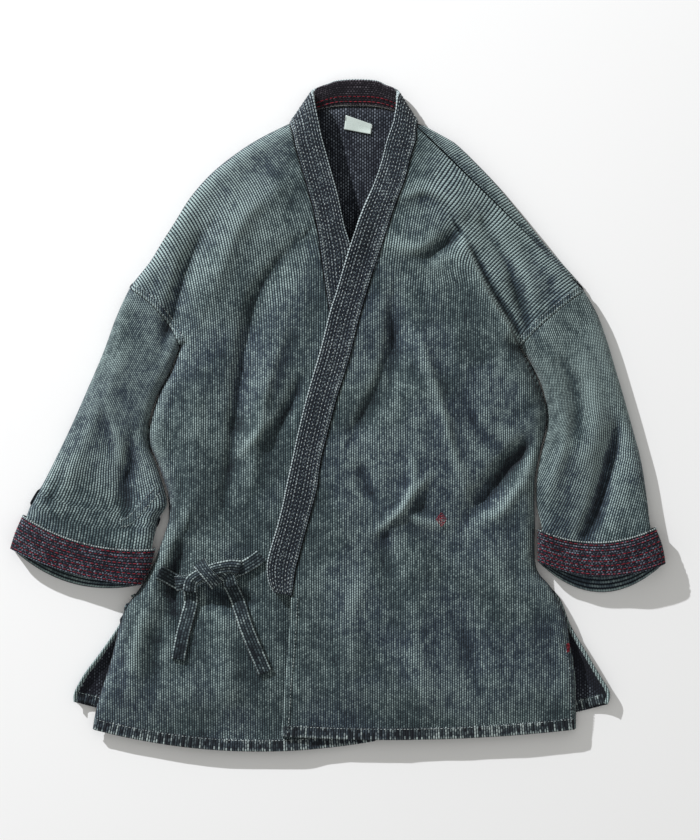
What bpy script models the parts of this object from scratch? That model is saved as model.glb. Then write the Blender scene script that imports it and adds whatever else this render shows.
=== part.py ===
"""A quilted open-front jacket laid flat on its back, with its fronts lapped and tied.

Metres, +Z up. +Y runs from the hem to the neck and the floor is at Z = 0. Every cloth piece is
a patch: a row of points across it for each section of its outline, with the height of the
cloth worked out from the distance to the nearest fold line and from a table of folds.
Tables are in millimetres.
"""

import math

import bmesh
import bpy
import numpy as np
from mathutils import Matrix, Vector
from mathutils.bvhtree import BVHTree

MM = 0.001

# Driving sizes in millimetres
CLOTH = 2.2
SEAM_GAP = 0.35
BAND_APART = 0.45
ARMHOLE_APART = 0.25
ARMHOLE_DRAW = 0.007
LAYER_GAP = 1.6
RIM = 6.0
RIM_GAP = 1.3
ROLL = 15.0
BODY_RISE = 20.0
SLEEVE_RISE = 17.0
HEM_RISE = 8.5
BAND_THICK = 4.4
BAND_PROUD = 1.4
CUFF_GAP = 0.8
TIE_WIDTH = 17.0
TIE_THICK = 2.4
TIE_GAP = 0.9
LABEL_THICK = 0.8
LABEL_GAP = 0.3
HEM_Y = -388.0
LAPPED_RISE = 15.0
HIDDEN_RISE = 9.0

# Fold lines where the cloth turns down to the floor: x, y
RIGHT_SILHOUETTE = [
    (-56, 351), (-79, 340), (-101, 328), (-122, 314), (-145, 296), (-163, 278), (-179, 258),
    (-195, 232), (-211, 207), (-225, 184), (-249, 153), (-265, 118), (-280, 77), (-298, 35),
    (-316, -6), (-333, -42), (-351, -78), (-369, -110), (-376, -120), (-387, -142), (-393, -159),
]
LEFT_SILHOUETTE = [
    (96, 352), (111, 344), (129, 334), (145, 324), (163, 306), (179, 290), (198, 269),
    (218, 244), (237, 221), (255, 198), (276, 175), (295, 150), (310, 124), (322, 92),
    (332, 59), (343, 22), (353, -14), (363, -52), (371, -97), (379, -134), (387, -154),
    (393, -178),
]
RIGHT_SIDE = [
    (-188, 83), (-199, 53), (-215, 22), (-226, -25), (-213, -62), (-200, -109), (-213, -158),
    (-230, -196), (-256, -235), (-271, -292), (-287, -343), (-293, -374),
]
LEFT_SIDE = [
    (218, 83), (237, 50), (249, 14), (250, -10), (243, -40), (237, -70), (236, -100),
    (236.5, -132), (236, -164), (240, -186), (256, -206), (273, -240), (279, -278),
    (283, -302), (285, -340), (285, -374),
]
RIGHT_UNDERARM = [
    (-188, 83), (-200.2, 53), (-216.4, 22), (-227.3, -25), (-214.4, -62), (-201.6, -106),
    (-215, -124), (-219, -159), (-225, -180), (-236, -200),
]
LEFT_UNDERARM = [
    (218, 83), (238.2, 50), (250.2, 14), (251.2, -10), (244.3, -40), (238.4, -70), (237.6, -100),
    (241, -134), (236, -176),
]

# Armhole seams run from the silhouette to the underarm and bow towards the body: x, y, bow
RIGHT_ARMHOLE = {"top": (-249, 153), "underarm": (-188, 83), "bow": 8.0}
LEFT_ARMHOLE = {"top": (295, 150), "underarm": (218, 83), "bow": -3.0}

# Rows of the fronts below the neck point: edge x, edge y, bow. The first four end on the
# armhole seam, the others on the side line, whose points are in the same order.
RIGHT_FRONT_EDGE = [
    (-57, 350, 26), (-44, 305, 18), (-33, 262, 10), (-22, 214, 4), (-13, 152, 0),
    (1, 86, 0), (10, 34, 0), (20, -18, 0), (30, -80, 0), (39, -130, 0), (46, -176, 0),
    (50, -232, 0), (49, -290, -2), (47, -344, -12), (46, -388, -19),
]
LEFT_FRONT_EDGE = [
    (98, 344, 0), (91, 317, 0), (80, 281, 0), (64, 238, 0), (50, 196, 0), (36, 150, 0),
    (24, 106, 0), (10, 54, 0), (-6, 2, 0), (-18, -46, 0), (-26, -94, 0), (-40, -146, 0),
    (-53, -205, 0), (-56, -244, 0), (-59, -286, 0), (-62, -316, 2), (-64, -350, 6),
    (-67, -382, 8),
]

# Folds: height, width on the left of the path, width on its right, then the path itself
RIGHT_FOLDS = [
    ("shoulder ridge", 6, 20, 22, [(-78, 262), (-112, 222), (-135, 180), (-152, 140)]),
    ("shoulder trough", -9, 14, 12, [(-160, 214), (-182, 172), (-196, 120), (-206, 70)]),
    ("long trough", -8, 14, 20, [(-50, 208), (-92, 146), (-108, 90), (-118, 0), (-132, -110)]),
    ("middle ridge", 4, 22, 26, [(-60, 100), (-70, 20), (-84, -60), (-92, -120)]),
    ("outer ridge", 5, 24, 24, [(-160, 40), (-172, -20), (-166, -90), (-180, -140)]),
    ("tie hollow", -7, 24, 22, [(-180, -120), (-196, -190), (-190, -260)]),
    ("sleeve ridge", 4, 20, 24, [(-262, 60), (-296, -10), (-330, -90)]),
    ("sleeve hollow", -6, 18, 20, [(-236, -40), (-250, -90), (-246, -130)]),
]
LEFT_FOLDS = [
    ("arc ridge", 6, 20, 14, [(74, 252), (122, 270), (156, 250), (170, 212)]),
    ("chest pocket", -8, 12, 12, [(126, 206), (152, 206)]),
    ("pointed fold", 6, 26, 13, [(146, 202), (182, 144), (212, 94), (240, 22)]),
    ("shoulder trough", -5, 13, 14, [(176, 226), (206, 180), (224, 122)]),
    ("band trough", -6, 12, 14, [(42, 120), (52, 70), (36, 10), (18, -34)]),
    ("thin ridge", 4, 12, 14, [(126, 14), (138, -30), (154, -78)]),
    ("soft trough", -6, 14, 16, [(50, 0), (24, -46), (36, -90)]),
    ("crumple", 4, 14, 14, [(52, -132), (84, -110), (120, -84)]),
    ("waist pinch", -10, 16, 16, [(236, -46), (204, -44), (180, -30)]),
    ("hip ridge", 4, 30, 30, [(150, -150), (200, -220), (220, -300)]),
    ("sleeve trough", -7, 12, 14, [(332, -16), (322, -70), (300, -140)]),
    ("sleeve ridge", 5, 18, 16, [(262, 20), (272, -40), (262, -110)]),
]

# Sleeves from armhole to mouth: outer x, outer y, inner x, inner y, bow, lift off the floor
RIGHT_SLEEVE_ROWS = [
    (-265, 118, -200.3, 53, 5, 0), (-280, 77, -216.5, 22, 3, 0), (-298, 35, -225.6, -8, 0, 0),
    (-316, -6, -225.3, -34, -3, 0), (-333, -42, -214.2, -66, -6, 0), (-351, -78, -204, -103, -9, 0),
    (-366, -104, -214, -124, -12, 0), (-371, -118, -222, -157, -13, 2.9),
    (-379, -139, -228, -180, -11, 2.9), (-384, -153, -238, -196, -8, 2.9),
]
LEFT_SLEEVE_ROWS = [
    (310, 124, 233.4, 60, -3, 0), (322, 92, 245.4, 34, -3, 0), (332, 59, 251, 6, -2, 0),
    (343, 22, 249.6, -22, -1, 0), (353, -14, 242.9, -48, 0, 0), (363, -52, 238.4, -76, 4, 0),
    (369, -90, 238, -104, 9, 0), (374, -133, 244.5, -134, 14, 2.9),
    (380, -154, 244.5, -155, 15, 2.9), (384, -170, 244.5, -168, 15, 2.9),
]
# Turned-back cuffs from their worn top edge to the mouth: outer x, y, inner x, y, bow, and the
# bow of the layer underneath, which shows below the mouth
RIGHT_CUFF_ROWS = [
    (-376, -118, -218, -158, -14, -14), (-385, -139, -224, -182, -11, -15),
    (-391, -158, -235, -202, -8, -21),
]
LEFT_CUFF_ROWS = [
    (380, -133, 240, -135, 16, 16), (388, -154, 239.5, -157, 17, 24),
    (392, -176, 240, -174, 16, 36),
]

# Back panel: left end x, right end x, y of both ends. Rows stop at the silhouette or the side.
BACK_SHOULDER_Y = (347.5, 340, 328, 314, 296, 278, 258, 232, 207, 184, 165)
BACK_HIP_ROWS = [
    (-244, 266, -218), (-263, 280, -252), (-285, 299, -284), (-303, 313, -308),
    (-315, 326, -330),
]
BACK_HEM = {"left": (-316, -342), "right": (324, -345), "bow": 44.0}
LEFT_SHOULDER_SEAM = [(98, 344), (295, 150)]

# The back neck seam: how far it rises over its ends, how square its curve is, and how much
# of the rise the rows of the back below it keep
NECK_BOW = 21.6
NECK_POWER = 2.6
NECK_BOW_ROWS = (0.55, 0.3, 0.12, 0.05)

# Collar band: seam side x, y and free side x, y, from the hidden end up to the neck and back down
RIGHT_LAPEL = [
    (50, -206, 80, -202), (45, -166, 77, -160), (38, -124, 70, -117), (29, -70, 60, -63),
    (20, -16, 51, -9), (10, 38, 41, 46), (1, 86, 31, 94), (-9, 126, 22, 134),
    (-14, 156, 17, 164), (-19, 191, 16, 200), (-23, 221, 8, 228), (-30, 253, 1, 261),
    (-39, 285, -8, 294), (-50, 322, -19, 334),
]
LEFT_LAPEL = [
    (94, 331, 67, 352), (87, 308, 59, 329), (80, 281, 52, 302), (71, 258, 43, 276),
    (62, 232, 29, 243), (51, 198, 17, 209), (41, 168, 7, 176), (32, 138, -1, 149),
    (25, 113, -9, 124), (14, 68, -20, 80), (-1, 20, -35, 29), (-12, -22, -46, -15),
    (-20, -54, -53, -48), (-24, -85, -61, -84), (-31, -112, -65, -104), (-38, -138, -72, -132),
    (-45, -164, -80, -159), (-50, -183, -84, -178), (-53, -205, -82, -198), (-55, -214, -76, -210),
]
# The neck: seam x, y, z and free x, y, z of the band's outer face, from one lapel to the other
NECK_TURN = [
    (-53, 338, 19.4, -26, 368, 22), (-56.5, 348, 16, -29, 382, 19), (-57, 352, 10, -31, 389, 12),
    (-52, 357, 3.5, -28, 392, 7), (-38, 364, 0.3, -12, 398, 8), (-4, 373.5, 0.3, 0, 402, 9),
    (22, 374.2, 0.3, 23, 403.5, 9.5), (49, 373, 0.3, 46, 402, 9), (75, 366, 0.3, 58, 397, 8),
    (91, 358, 3.5, 70, 392, 7), (96.5, 353.5, 10, 74, 388, 12), (95.5, 349, 16, 72, 382, 19),
    (94, 339, 19.4, 70, 368, 22),
]

# Ties: route x, y. The two tails leave the knot downwards.
SIDE_TIE = [(-213, -186), (-205, -190), (-196, -196), (-189, -200)]
FRONT_TIE = [(-91, -166), (-100, -173), (-114, -181), (-123, -184)]
SIDE_TAIL = [(-176, -208), (-175, -222), (-180, -242), (-185, -262), (-190, -290)]
FRONT_TAIL = [(-128, -201), (-119, -221), (-109, -251), (-98, -278), (-86, -306)]
KNOT = {"centre": (-155, -188), "size": (62.0, 26.0, 17.0), "turn": 24.0, "gap": 5.3, "flat": 0.25}
LABEL = [(8, 344), (40, 338), (41.5, 350), (10, 361)]

# Cloth colours: name, red, green, blue, roughness
MATERIALS = {
    "washed_indigo": (0.10, 0.14, 0.17, 0.9),
    "band_indigo": (0.07, 0.09, 0.12, 0.9),
    "cuff_inside": (0.035, 0.035, 0.06, 0.9),
    "tie_indigo": (0.12, 0.16, 0.19, 0.9),
    "label_cloth": (0.62, 0.72, 0.68, 0.8),
}

# Where the points of a row lie: shares of the roll, of a seam or sleeve top, and of a sleeve's
# floor side from its inner end, then steps along a cuff
TURN = [0.0, 0.07, 0.29, 0.62, 1.0]
SEAM_STEPS = [0, 0.012, 0.05, 0.11, 0.19, 0.29, 0.4, 0.52, 0.64, 0.75, 0.85, 0.93, 0.98, 1.0]
FLOOR_STEPS = np.array([0.985, 0.955, 0.92, 0.76, 0.5, 0.24, 0.08, 0.045, 0.015])
CUFF_STEPS = (0, 0.5, 1, 1.5, 2)
BACK_RIM = (0.0, 0.8, 2.6, RIM, 2 * RIM)
BACK_ROLL = (0.04, 0.3, 0.65, 1.0)
ARMHOLE_ROWS = 3


def clear_scene():
    for obj in list(bpy.data.objects):
        bpy.data.objects.remove(obj)


def smoothstep(low, high, value):
    share = np.clip((value - low) / (high - low), 0.0, 1.0)
    return share * share * (3 - 2 * share)


def smooth_max(a, b, blend=1.6):
    return 0.5 * (a + b + np.sqrt((a - b) ** 2 + blend**2))


def along(rows, t):
    """The row at t, on a smooth curve through all rows; t runs from 0 to len(rows) - 1."""
    rows = np.asarray(rows, float)
    last = len(rows) - 1
    i = min(int(t), last - 1)
    f = t - i
    before, here, there, after = (rows[min(max(k, 0), last)] for k in (i - 1, i, i + 1, i + 2))
    bend = 2 * here + (there - before) * f
    bend = bend + (2 * before - 5 * here + 4 * there - after) * f**2
    return 0.5 * (bend + (3 * here - before - 3 * there + after) * f**3)


def smooth_line(points, steps=3):
    last = len(points) - 1
    return np.array([along(points, k / steps) for k in range(last * steps + 1)])


def to_line(points, line):
    """Distance from each point to a line of segments, and on which side: positive on its left."""
    best = np.full(len(points), 1e9)
    side = np.zeros(len(points))
    share = np.zeros(len(points))
    for k in range(len(line) - 1):
        a, run = line[k], line[k + 1] - line[k]
        f = np.clip((points - a) @ run / (run @ run), 0, 1)
        off = points - a - f[:, None] * run
        distance = np.hypot(off[:, 0], off[:, 1])
        nearer = distance < best
        best = np.where(nearer, distance, best)
        side = np.where(nearer, np.sign(run[0] * off[:, 1] - run[1] * off[:, 0]), side)
        share = np.where(nearer, (k + f) / (len(line) - 1), share)
    return best, side, share


def rolled(distance):
    """A quarter ellipse: 0 at a fold line, 1 once the cloth lies level."""
    return np.sqrt(1 - (1 - np.clip(distance / ROLL, 0, 1)) ** 2)


def fold_relief(points, folds):
    relief = np.zeros(len(points))
    for _, height, left_width, right_width, path in folds:
        distance, side, share = to_line(points, smooth_line(path, 2))
        width = np.where(side > 0, left_width, right_width)
        ends = np.sin(math.pi * np.clip(0.12 + 0.76 * share, 0, 1)) ** 0.7
        relief += height * np.exp(-((distance / width) ** 2)) * ends
    return relief


def level(points):
    """How high the cloth lies away from its fold lines, lower over the sleeves."""
    sleeve = smoothstep(170, 330, np.abs(points[:, 0]))
    return BODY_RISE - (BODY_RISE - SLEEVE_RISE) * sleeve


def cloth_top(points, lines, folds):
    distance = np.min([to_line(points, line)[0] for line in lines], axis=0)
    base = RIM + RIM_GAP
    crest = level(points) - base + fold_relief(points, folds) * smoothstep(2, 26, distance)
    return base + crest * rolled(distance)


def hem_fall(points):
    return smoothstep(70, 0, points[:, 1] - HEM_Y)


def lapel_x(rows, y, column):
    rows = sorted(rows, key=lambda row: row[column + 1])
    return np.interp(y, [row[column + 1] for row in rows], [row[column] for row in rows])


def right_layer(points):
    """Top of the right front, which sinks where the left front lies over it."""
    top = cloth_top(points, (RIGHT_FOLD_LINE, RIGHT_SIDE_LINE), RIGHT_FOLDS)
    x, y = points[:, 0], points[:, 1]
    free = lapel_x(LEFT_LAPEL, y, 2)
    hidden = smoothstep(-6, 55, x - free) * smoothstep(230, 190, y)
    near = smoothstep(-70, 0, x - free) * smoothstep(240, 150, y)
    top = top + (LAPPED_RISE - top) * 0.75 * near
    top = top + (HIDDEN_RISE - top) * hidden
    return top + (HEM_RISE - top) * hem_fall(points) * 0.8 * smoothstep(0, 12, top - RIM)


def right_stack(points):
    """Top of whatever the left front has to clear: the right front or its band."""
    x, y = points[:, 0], points[:, 1]
    free = lapel_x(RIGHT_LAPEL, y, 2)
    edge = np.where(y > -206, free, 50.0)
    over_band = (y > -212) * BAND_PROUD
    return right_layer(points) + over_band - np.clip(x - edge - 16, 0, None) * 0.22


def left_layer(points):
    top = cloth_top(points, (LEFT_FOLD_LINE, LEFT_SIDE_LINE), LEFT_FOLDS)
    sink = hem_fall(points) * 0.62 * smoothstep(0, 12, top - RIM)
    top = top + (HEM_RISE - top) * sink
    under = right_stack(points) + CLOTH + LAYER_GAP
    return np.where(points[:, 1] < 300, smooth_max(top, under), top)


RIGHT_FOLD_LINE = smooth_line(RIGHT_SILHOUETTE)
LEFT_FOLD_LINE = smooth_line(LEFT_SILHOUETTE)
RIGHT_SIDE_LINE = smooth_line(RIGHT_SIDE)
LEFT_SIDE_LINE = smooth_line(LEFT_SIDE)
RIGHT_UNDERARM_LINE = smooth_line(RIGHT_UNDERARM)
LEFT_UNDERARM_LINE = smooth_line(LEFT_UNDERARM)


def material(name):
    made = bpy.data.materials.get(name) or bpy.data.materials.new(name)
    made.use_nodes = True
    shader = made.node_tree.nodes["Principled BSDF"]
    red, green, blue, rough = MATERIALS[name]
    shader.inputs["Base Color"].default_value = (red, green, blue, 1)
    shader.inputs["Roughness"].default_value = rough
    shader.inputs["Metallic"].default_value = 0
    return made


def cloth_piece(name, grid, finish, wall=CLOTH, closed=False, keep=None):
    """A patch of cloth through grid[row][column], thickened away from its outer face."""
    rows, columns = grid.shape[:2]
    mesh = bmesh.new()
    bmesh.ops.create_grid(mesh, x_segments=columns - 1, y_segments=rows - 1, size=0.5)
    mesh.verts.ensure_lookup_table()
    for index, vert in enumerate(mesh.verts):
        vert.co = Vector(grid[index // columns][index % columns] * MM)
    if keep is not None:
        unused = [v for i, v in enumerate(mesh.verts) if not keep[i // columns][i % columns]]
        bmesh.ops.delete(mesh, geom=unused, context="VERTS")
    if closed:
        bmesh.ops.remove_doubles(mesh, verts=mesh.verts, dist=0.00001)
    data = bpy.data.meshes.new(name)
    mesh.to_mesh(data)
    mesh.free()
    data.shade_smooth()
    obj = bpy.data.objects.new(name, data)
    bpy.context.scene.collection.objects.link(obj)
    data.materials.append(material(finish))
    thicken = obj.modifiers.new("cloth", "SOLIDIFY")
    thicken.thickness = wall * MM
    thicken.offset = -1
    thicken.use_even_offset = False
    return obj


def bowed(start, end, shares, bow):
    """Points from start to end at the given shares, bowed to the left of the way there."""
    start, end = np.asarray(start, float), np.asarray(end, float)
    run = end - start
    normal = np.array([-run[1], run[0]]) / np.hypot(*run)
    shares = np.asarray(shares, float)[:, None]
    return start + shares * run + normal * bow * 4 * shares * (1 - shares)


def armhole(seam, share):
    return bowed(seam["top"], seam["underarm"], [share], seam["bow"])[0]


def across(length, count):
    """Shares of a row of this length, close together over the roll at its start."""
    turn = [ROLL * share / length for share in TURN]
    return np.concatenate([turn, np.linspace(turn[-1], 1.0, count)[1:]])


def row_times(last, count):
    """Where the rows of a front lie: those of the armhole seam, then evenly to the hem."""
    seam_times = [ARMHOLE_ROWS * step for step in SEAM_STEPS]
    return seam_times + list(np.linspace(ARMHOLE_ROWS, last, count))[1:]


def shoulder_row(line, start, end, shares):
    """Points of the shoulder line from start to end, at these shares of its length."""
    within = (line[:, 1] > start[1]) & (line[:, 1] < end[1])
    points = np.array([start, *line[within][::-1], end])
    length = np.cumsum(np.hypot(*np.diff(points, axis=0, prepend=points[:1]).T))
    wanted = np.asarray(shares) * length[-1]
    return np.stack([np.interp(wanted, length, points[:, k]) for k in (0, 1)], axis=1)


def front_plan(seam, side, edge, lapel, columns, count, shoulder=None):
    """Plan of a front: rows from its armhole or side line to the seam of the collar band.

    The first rows follow the shoulder line where one is given.
    """
    apart = SEAM_GAP + BAND_APART
    right_of_band = seam["top"][0] > 0
    last = len(edge) - 1
    plan = []
    for t in row_times(last, count):
        if t <= ARMHOLE_ROWS:
            outer = armhole(seam, t / ARMHOLE_ROWS)
        else:
            outer = along(side, (t - ARMHOLE_ROWS) * (len(side) - 1) / (last - ARMHOLE_ROWS))
        edge_x, edge_y, bow = along(edge, t)
        inner = np.array([edge_x, edge_y])
        if edge_y > min(row[1] for row in lapel):
            seam_x = float(lapel_x(lapel, edge_y, 0))
            inner[0] = seam_x + apart if right_of_band else seam_x - apart
        shares = across(np.hypot(*(inner - outer)), columns)
        row = bowed(outer, inner, shares, bow)
        if shoulder is not None and t == 0:
            off = shoulder_row(shoulder, outer, inner, shares) - row
            first_shares = shares
        if shoulder is not None and t < 1:
            shift = [np.interp(shares, first_shares, off[:, k]) for k in (0, 1)]
            row = row + np.stack(shift, axis=1) * (1 - t) ** 2
        plan.append(row)
    return np.array(plan)


def raise_plan(plan, height):
    flat = plan.reshape(-1, 2)
    return np.concatenate([flat, height(flat)[:, None]], axis=1).reshape(*plan.shape[:2], 3)


def facing_up(grid):
    """The same patch with its first columns facing up."""
    along_row = grid[0, 1:4].mean(0) - grid[0, 0:3].mean(0)
    down_column = grid[1:3, 2].mean(0) - grid[0:2, 2].mean(0)
    return grid if np.cross(along_row, down_column)[2] > 0 else grid[::-1]


def make_right_front():
    lapel = RIGHT_LAPEL + NECK_TURN[:2]
    plan = front_plan(RIGHT_ARMHOLE, RIGHT_SIDE, RIGHT_FRONT_EDGE, lapel, 15, 27, RIGHT_FOLD_LINE)
    return cloth_piece("right_front", raise_plan(plan, right_layer)[::-1], "washed_indigo")


def make_left_front():
    lapel = NECK_TURN[-2:][::-1] + LEFT_LAPEL
    plan = front_plan(LEFT_ARMHOLE, LEFT_SIDE, LEFT_FRONT_EDGE, lapel, 16, 29)
    return cloth_piece("left_front", raise_plan(plan, left_layer), "washed_indigo")


def rim_curve(distance, lift=0.0):
    """Underside of a rolled edge: a quarter circle from the floor up to the fold line."""
    return lift + (RIM - lift) * (1 - np.sqrt(1 - (1 - np.clip(distance / RIM, 0, 1)) ** 2))


def back_rows():
    """Left end and right end of each row of the back, from the neck to the hem."""
    rows = []
    for y in BACK_SHOULDER_Y:
        rows.append((silhouette_x(RIGHT_FOLD_LINE, y), y, silhouette_x(LEFT_FOLD_LINE, y), y))
    for share in SEAM_STEPS[::2]:
        rows.append((*armhole(RIGHT_ARMHOLE, share), *armhole(LEFT_ARMHOLE, share)))
    for k in range(1, 9):
        left, right = along(RIGHT_SIDE, k * 7.2 / 8), along(LEFT_SIDE, k * 9.0 / 8)
        rows.append((*left, *right))
    rows += [(left, y, right, y) for left, right, y in BACK_HIP_ROWS]
    rows.append((*BACK_HEM["left"], *BACK_HEM["right"]))
    return rows


def silhouette_x(line, y):
    down = line[line[:, 1].argsort()]
    return float(np.interp(y, down[:, 1], down[:, 0]))


def seam_x_at(y):
    """Where the left shoulder seam crosses y."""
    (x0, y0), (x1, y1) = LEFT_SHOULDER_SEAM
    return x0 + (x1 - x0) * (y - y0) / (y1 - y0)


def neck_seam(share):
    left, right = RIGHT_SILHOUETTE[0], LEFT_SILHOUETTE[0]
    rise = NECK_BOW * (1 - abs(2 * share - 1) ** NECK_POWER)
    return np.array([left[0] + (right[0] - left[0]) * share, left[1] + rise])


def make_back_panel():
    """The back, flat on the floor, with the columns that roll forward over the left shoulder."""
    rim = np.array(BACK_RIM)
    rolls = np.array(BACK_ROLL)
    inside = np.linspace(0, 1, 8)[1:-1]
    rows = back_rows()
    first = np.array([neck_seam(s) for s in np.linspace(0.02, 0.98, len(inside) + 2 * len(rim))])
    fold_lines = (RIGHT_FOLD_LINE, LEFT_FOLD_LINE)
    height = rim_curve(np.min([to_line(first, line)[0] for line in fold_lines], axis=0))
    seam = [(x, y - SEAM_GAP, z) for (x, y), z in zip(first, height)]
    grid = [seam + [(*first[-1], 0.0)] * len(rolls)]
    keep = [[True] * len(first) + [False] * len(rolls)]
    hips = len(rows) - len(BACK_HIP_ROWS) - 1
    lines = (RIGHT_FOLD_LINE, RIGHT_SIDE_LINE, LEFT_FOLD_LINE, LEFT_SIDE_LINE)
    for index, (left_x, left_y, right_x, right_y) in enumerate(rows):
        width = math.hypot(right_x - left_x, right_y - left_y)
        near = np.minimum(rim, width / 6) / width
        shares = np.concatenate([near, near[-1] + (1 - 2 * near[-1]) * inside, 1 - near[::-1]])
        bow = NECK_BOW * NECK_BOW_ROWS[index] if index < len(NECK_BOW_ROWS) else 0.0
        if index == len(rows) - 1:
            bow = -BACK_HEM["bow"]
        row = bowed((left_x, left_y), (right_x, right_y), shares, bow)
        height = np.zeros(len(row))
        if index < hips:
            height = rim_curve(np.min([to_line(row, line)[0] for line in lines], axis=0))
        reach = max(right_x - seam_x_at(right_y) - 2 * SEAM_GAP, 1.0)
        roll = np.array([(right_x - reach * share, right_y) for share in rolls])
        points = [*np.column_stack([row, height]), *np.column_stack([roll, left_layer(roll)])]
        grid.append(points)
        keep.append([True] * len(row) + [index < len(BACK_SHOULDER_Y) - 1] * len(rolls))
    return cloth_piece("back_panel", np.array(grid), "washed_indigo", keep=keep)


def ring(outer, inner, bow, under_bow, top_height, lift=0.0):
    """One section of a sleeve: over the top from the outer edge, then back along the floor."""
    over = bowed(outer, inner, SEAM_STEPS, bow)
    under = bowed(outer, inner, FLOOR_STEPS, under_bow)
    length = math.hypot(inner[0] - outer[0], inner[1] - outer[1])
    from_end = np.minimum(FLOOR_STEPS, 1 - FLOOR_STEPS) * length
    top = np.column_stack([over, top_height(over)])
    bottom = np.column_stack([under, rim_curve(from_end, max(lift, 0.0))])
    return np.concatenate([top, bottom, top[:1]])


def make_sleeve(name, seam, rows, lines, folds, count=12):
    top, underarm = np.array(seam["top"], float), np.array(seam["underarm"], float)
    draw_in = (underarm - top) * ARMHOLE_DRAW
    start = (*(top + 0.3 * draw_in), *(underarm - draw_in), seam["bow"], 0)
    table = [start, *rows]
    run = underarm - top
    away = np.array([-run[1], run[0], 0.0]) / np.hypot(*run)
    away = away if away[1] < 0 else -away
    cuff_start = len(table) - 3
    grid = []
    for t in [*np.linspace(0, cuff_start, count), *(cuff_start + np.array(CUFF_STEPS[1:]))]:
        x0, y0, x1, y1, bow, lift = along(table, t)
        section = ring((x0, y0), (x1, y1), bow, bow, lambda p: cloth_top(p, lines, folds), lift)
        grid.append(section + away * (SEAM_GAP + ARMHOLE_APART) * (t == 0))
    return cloth_piece(name, facing_up(np.array(grid)), "washed_indigo", closed=True)


def make_cuff(name, cuff_rows, sleeve_rows, lines, folds):
    grid = []
    first = len(sleeve_rows) - 3
    for step in CUFF_STEPS:
        x0, y0, x1, y1, bow, under_bow = along(cuff_rows, step)
        inner = along(sleeve_rows, first + step)
        over = bowed(inner[0:2], inner[2:4], SEAM_STEPS, inner[4])
        from_end = np.minimum(SEAM_STEPS, 1 - np.array(SEAM_STEPS)) * math.hypot(x1 - x0, y1 - y0)
        raised = cloth_top(over, lines, folds) + (CLOTH + CUFF_GAP) * rolled(from_end)
        grid.append(ring((x0, y0), (x1, y1), bow, under_bow, lambda p, z=raised: z))
    return cloth_piece(name, facing_up(np.array(grid)), "cuff_inside", closed=True)


def lapel_height(points, right_side):
    if right_side:
        return right_layer(points) + BAND_PROUD
    clear = right_stack(points) + BAND_THICK + LAYER_GAP
    own = left_layer(points) + BAND_PROUD
    return np.where(points[:, 1] < 300, smooth_max(own, clear, 1.0), own)


def make_collar_band():
    """The band as one strip, from its hidden right end round the neck to its left end."""
    shares = np.linspace(0, 1, 4)[None, :, None]
    neck = np.array(NECK_TURN, float)
    for end, right_side in ((0, True), (-1, False)):
        for column in (0, 3):
            here = neck[end, column : column + 2][None, :]
            neck[end, column + 2] = lapel_height(here, right_side)[0]
    parts = []
    for rows, right_side in ((RIGHT_LAPEL, True), (LEFT_LAPEL, False)):
        samples = smooth_line(rows, 2)[:, None]
        plan = samples[..., 0:2] + shares * (samples[..., 2:4] - samples[..., 0:2])
        parts.append(raise_plan(plan, lambda p, side=right_side: lapel_height(p, side)))
    turn = smooth_line(neck, 2)[:, None]
    middle = turn[..., 0:3] + shares * (turn[..., 3:6] - turn[..., 0:3])
    grid = np.concatenate([parts[0], middle, parts[1]])
    return cloth_piece("collar_band", grid, "band_indigo", wall=BAND_THICK)


def surface_of(objects):
    graph = bpy.context.evaluated_depsgraph_get()
    return [BVHTree.FromObject(obj, graph) for obj in objects]


def height_under(trees, x, y):
    found = [tree.ray_cast(Vector((x * MM, y * MM, 0.2)), Vector((0, 0, -1)))[0] for tree in trees]
    return max([hit.z / MM for hit in found if hit] or [0.0])


def make_tie(name, route, trees):
    route = smooth_line(route, 4)
    run = np.gradient(route, axis=0)
    side = np.stack([-run[:, 1], run[:, 0]], axis=1) / np.hypot(run[:, 0], run[:, 1])[:, None]
    grid = []
    for point, across_tie in zip(route, side):
        row = [point + across_tie * TIE_WIDTH * share for share in (-0.5, 0.0, 0.5)]
        grid.append([(x, y, height_under(trees, x, y) + TIE_GAP + TIE_THICK) for x, y in row])
    return cloth_piece(name, facing_up(np.array(grid)), "tie_indigo", wall=TIE_THICK)


def make_knot(trees):
    """The knot as one lump, flattened where it lies on the front."""
    x, y = KNOT["centre"]
    length, width, height = KNOT["size"]
    base = max(height_under(trees, x + dx, y + dy) for dx in (-22, 0, 22) for dy in (-10, 0, 10))
    mesh = bmesh.new()
    bmesh.ops.create_uvsphere(mesh, u_segments=20, v_segments=10, radius=0.5)
    for vert in mesh.verts:
        vert.co.z = max(vert.co.z, -KNOT["flat"])
    place = Matrix.Translation(Vector((x, y, base + KNOT["gap"])) * MM)
    turn = Matrix.Rotation(math.radians(KNOT["turn"]), 4, "Z")
    size = Matrix.Diagonal((length * MM, width * MM, height * MM, 1))
    bmesh.ops.transform(mesh, matrix=place @ turn @ size, verts=mesh.verts)
    data = bpy.data.meshes.new("tie_knot")
    mesh.to_mesh(data)
    mesh.free()
    data.shade_smooth()
    obj = bpy.data.objects.new("tie_knot", data)
    bpy.context.scene.collection.objects.link(obj)
    data.materials.append(material("tie_indigo"))
    return obj


def make_label():
    a, b, c, d = (np.array(corner, float) for corner in LABEL)
    grid = []
    for v in np.linspace(0, 1, 3):
        left, right = a + (d - a) * v, b + (c - b) * v
        row = [left + (right - left) * u for u in np.linspace(0, 1, 4)]
        grid.append([(x, y, CLOTH + LABEL_GAP + LABEL_THICK) for x, y in row])
    return cloth_piece("neck_label", facing_up(np.array(grid)), "label_cloth", wall=LABEL_THICK)


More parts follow.
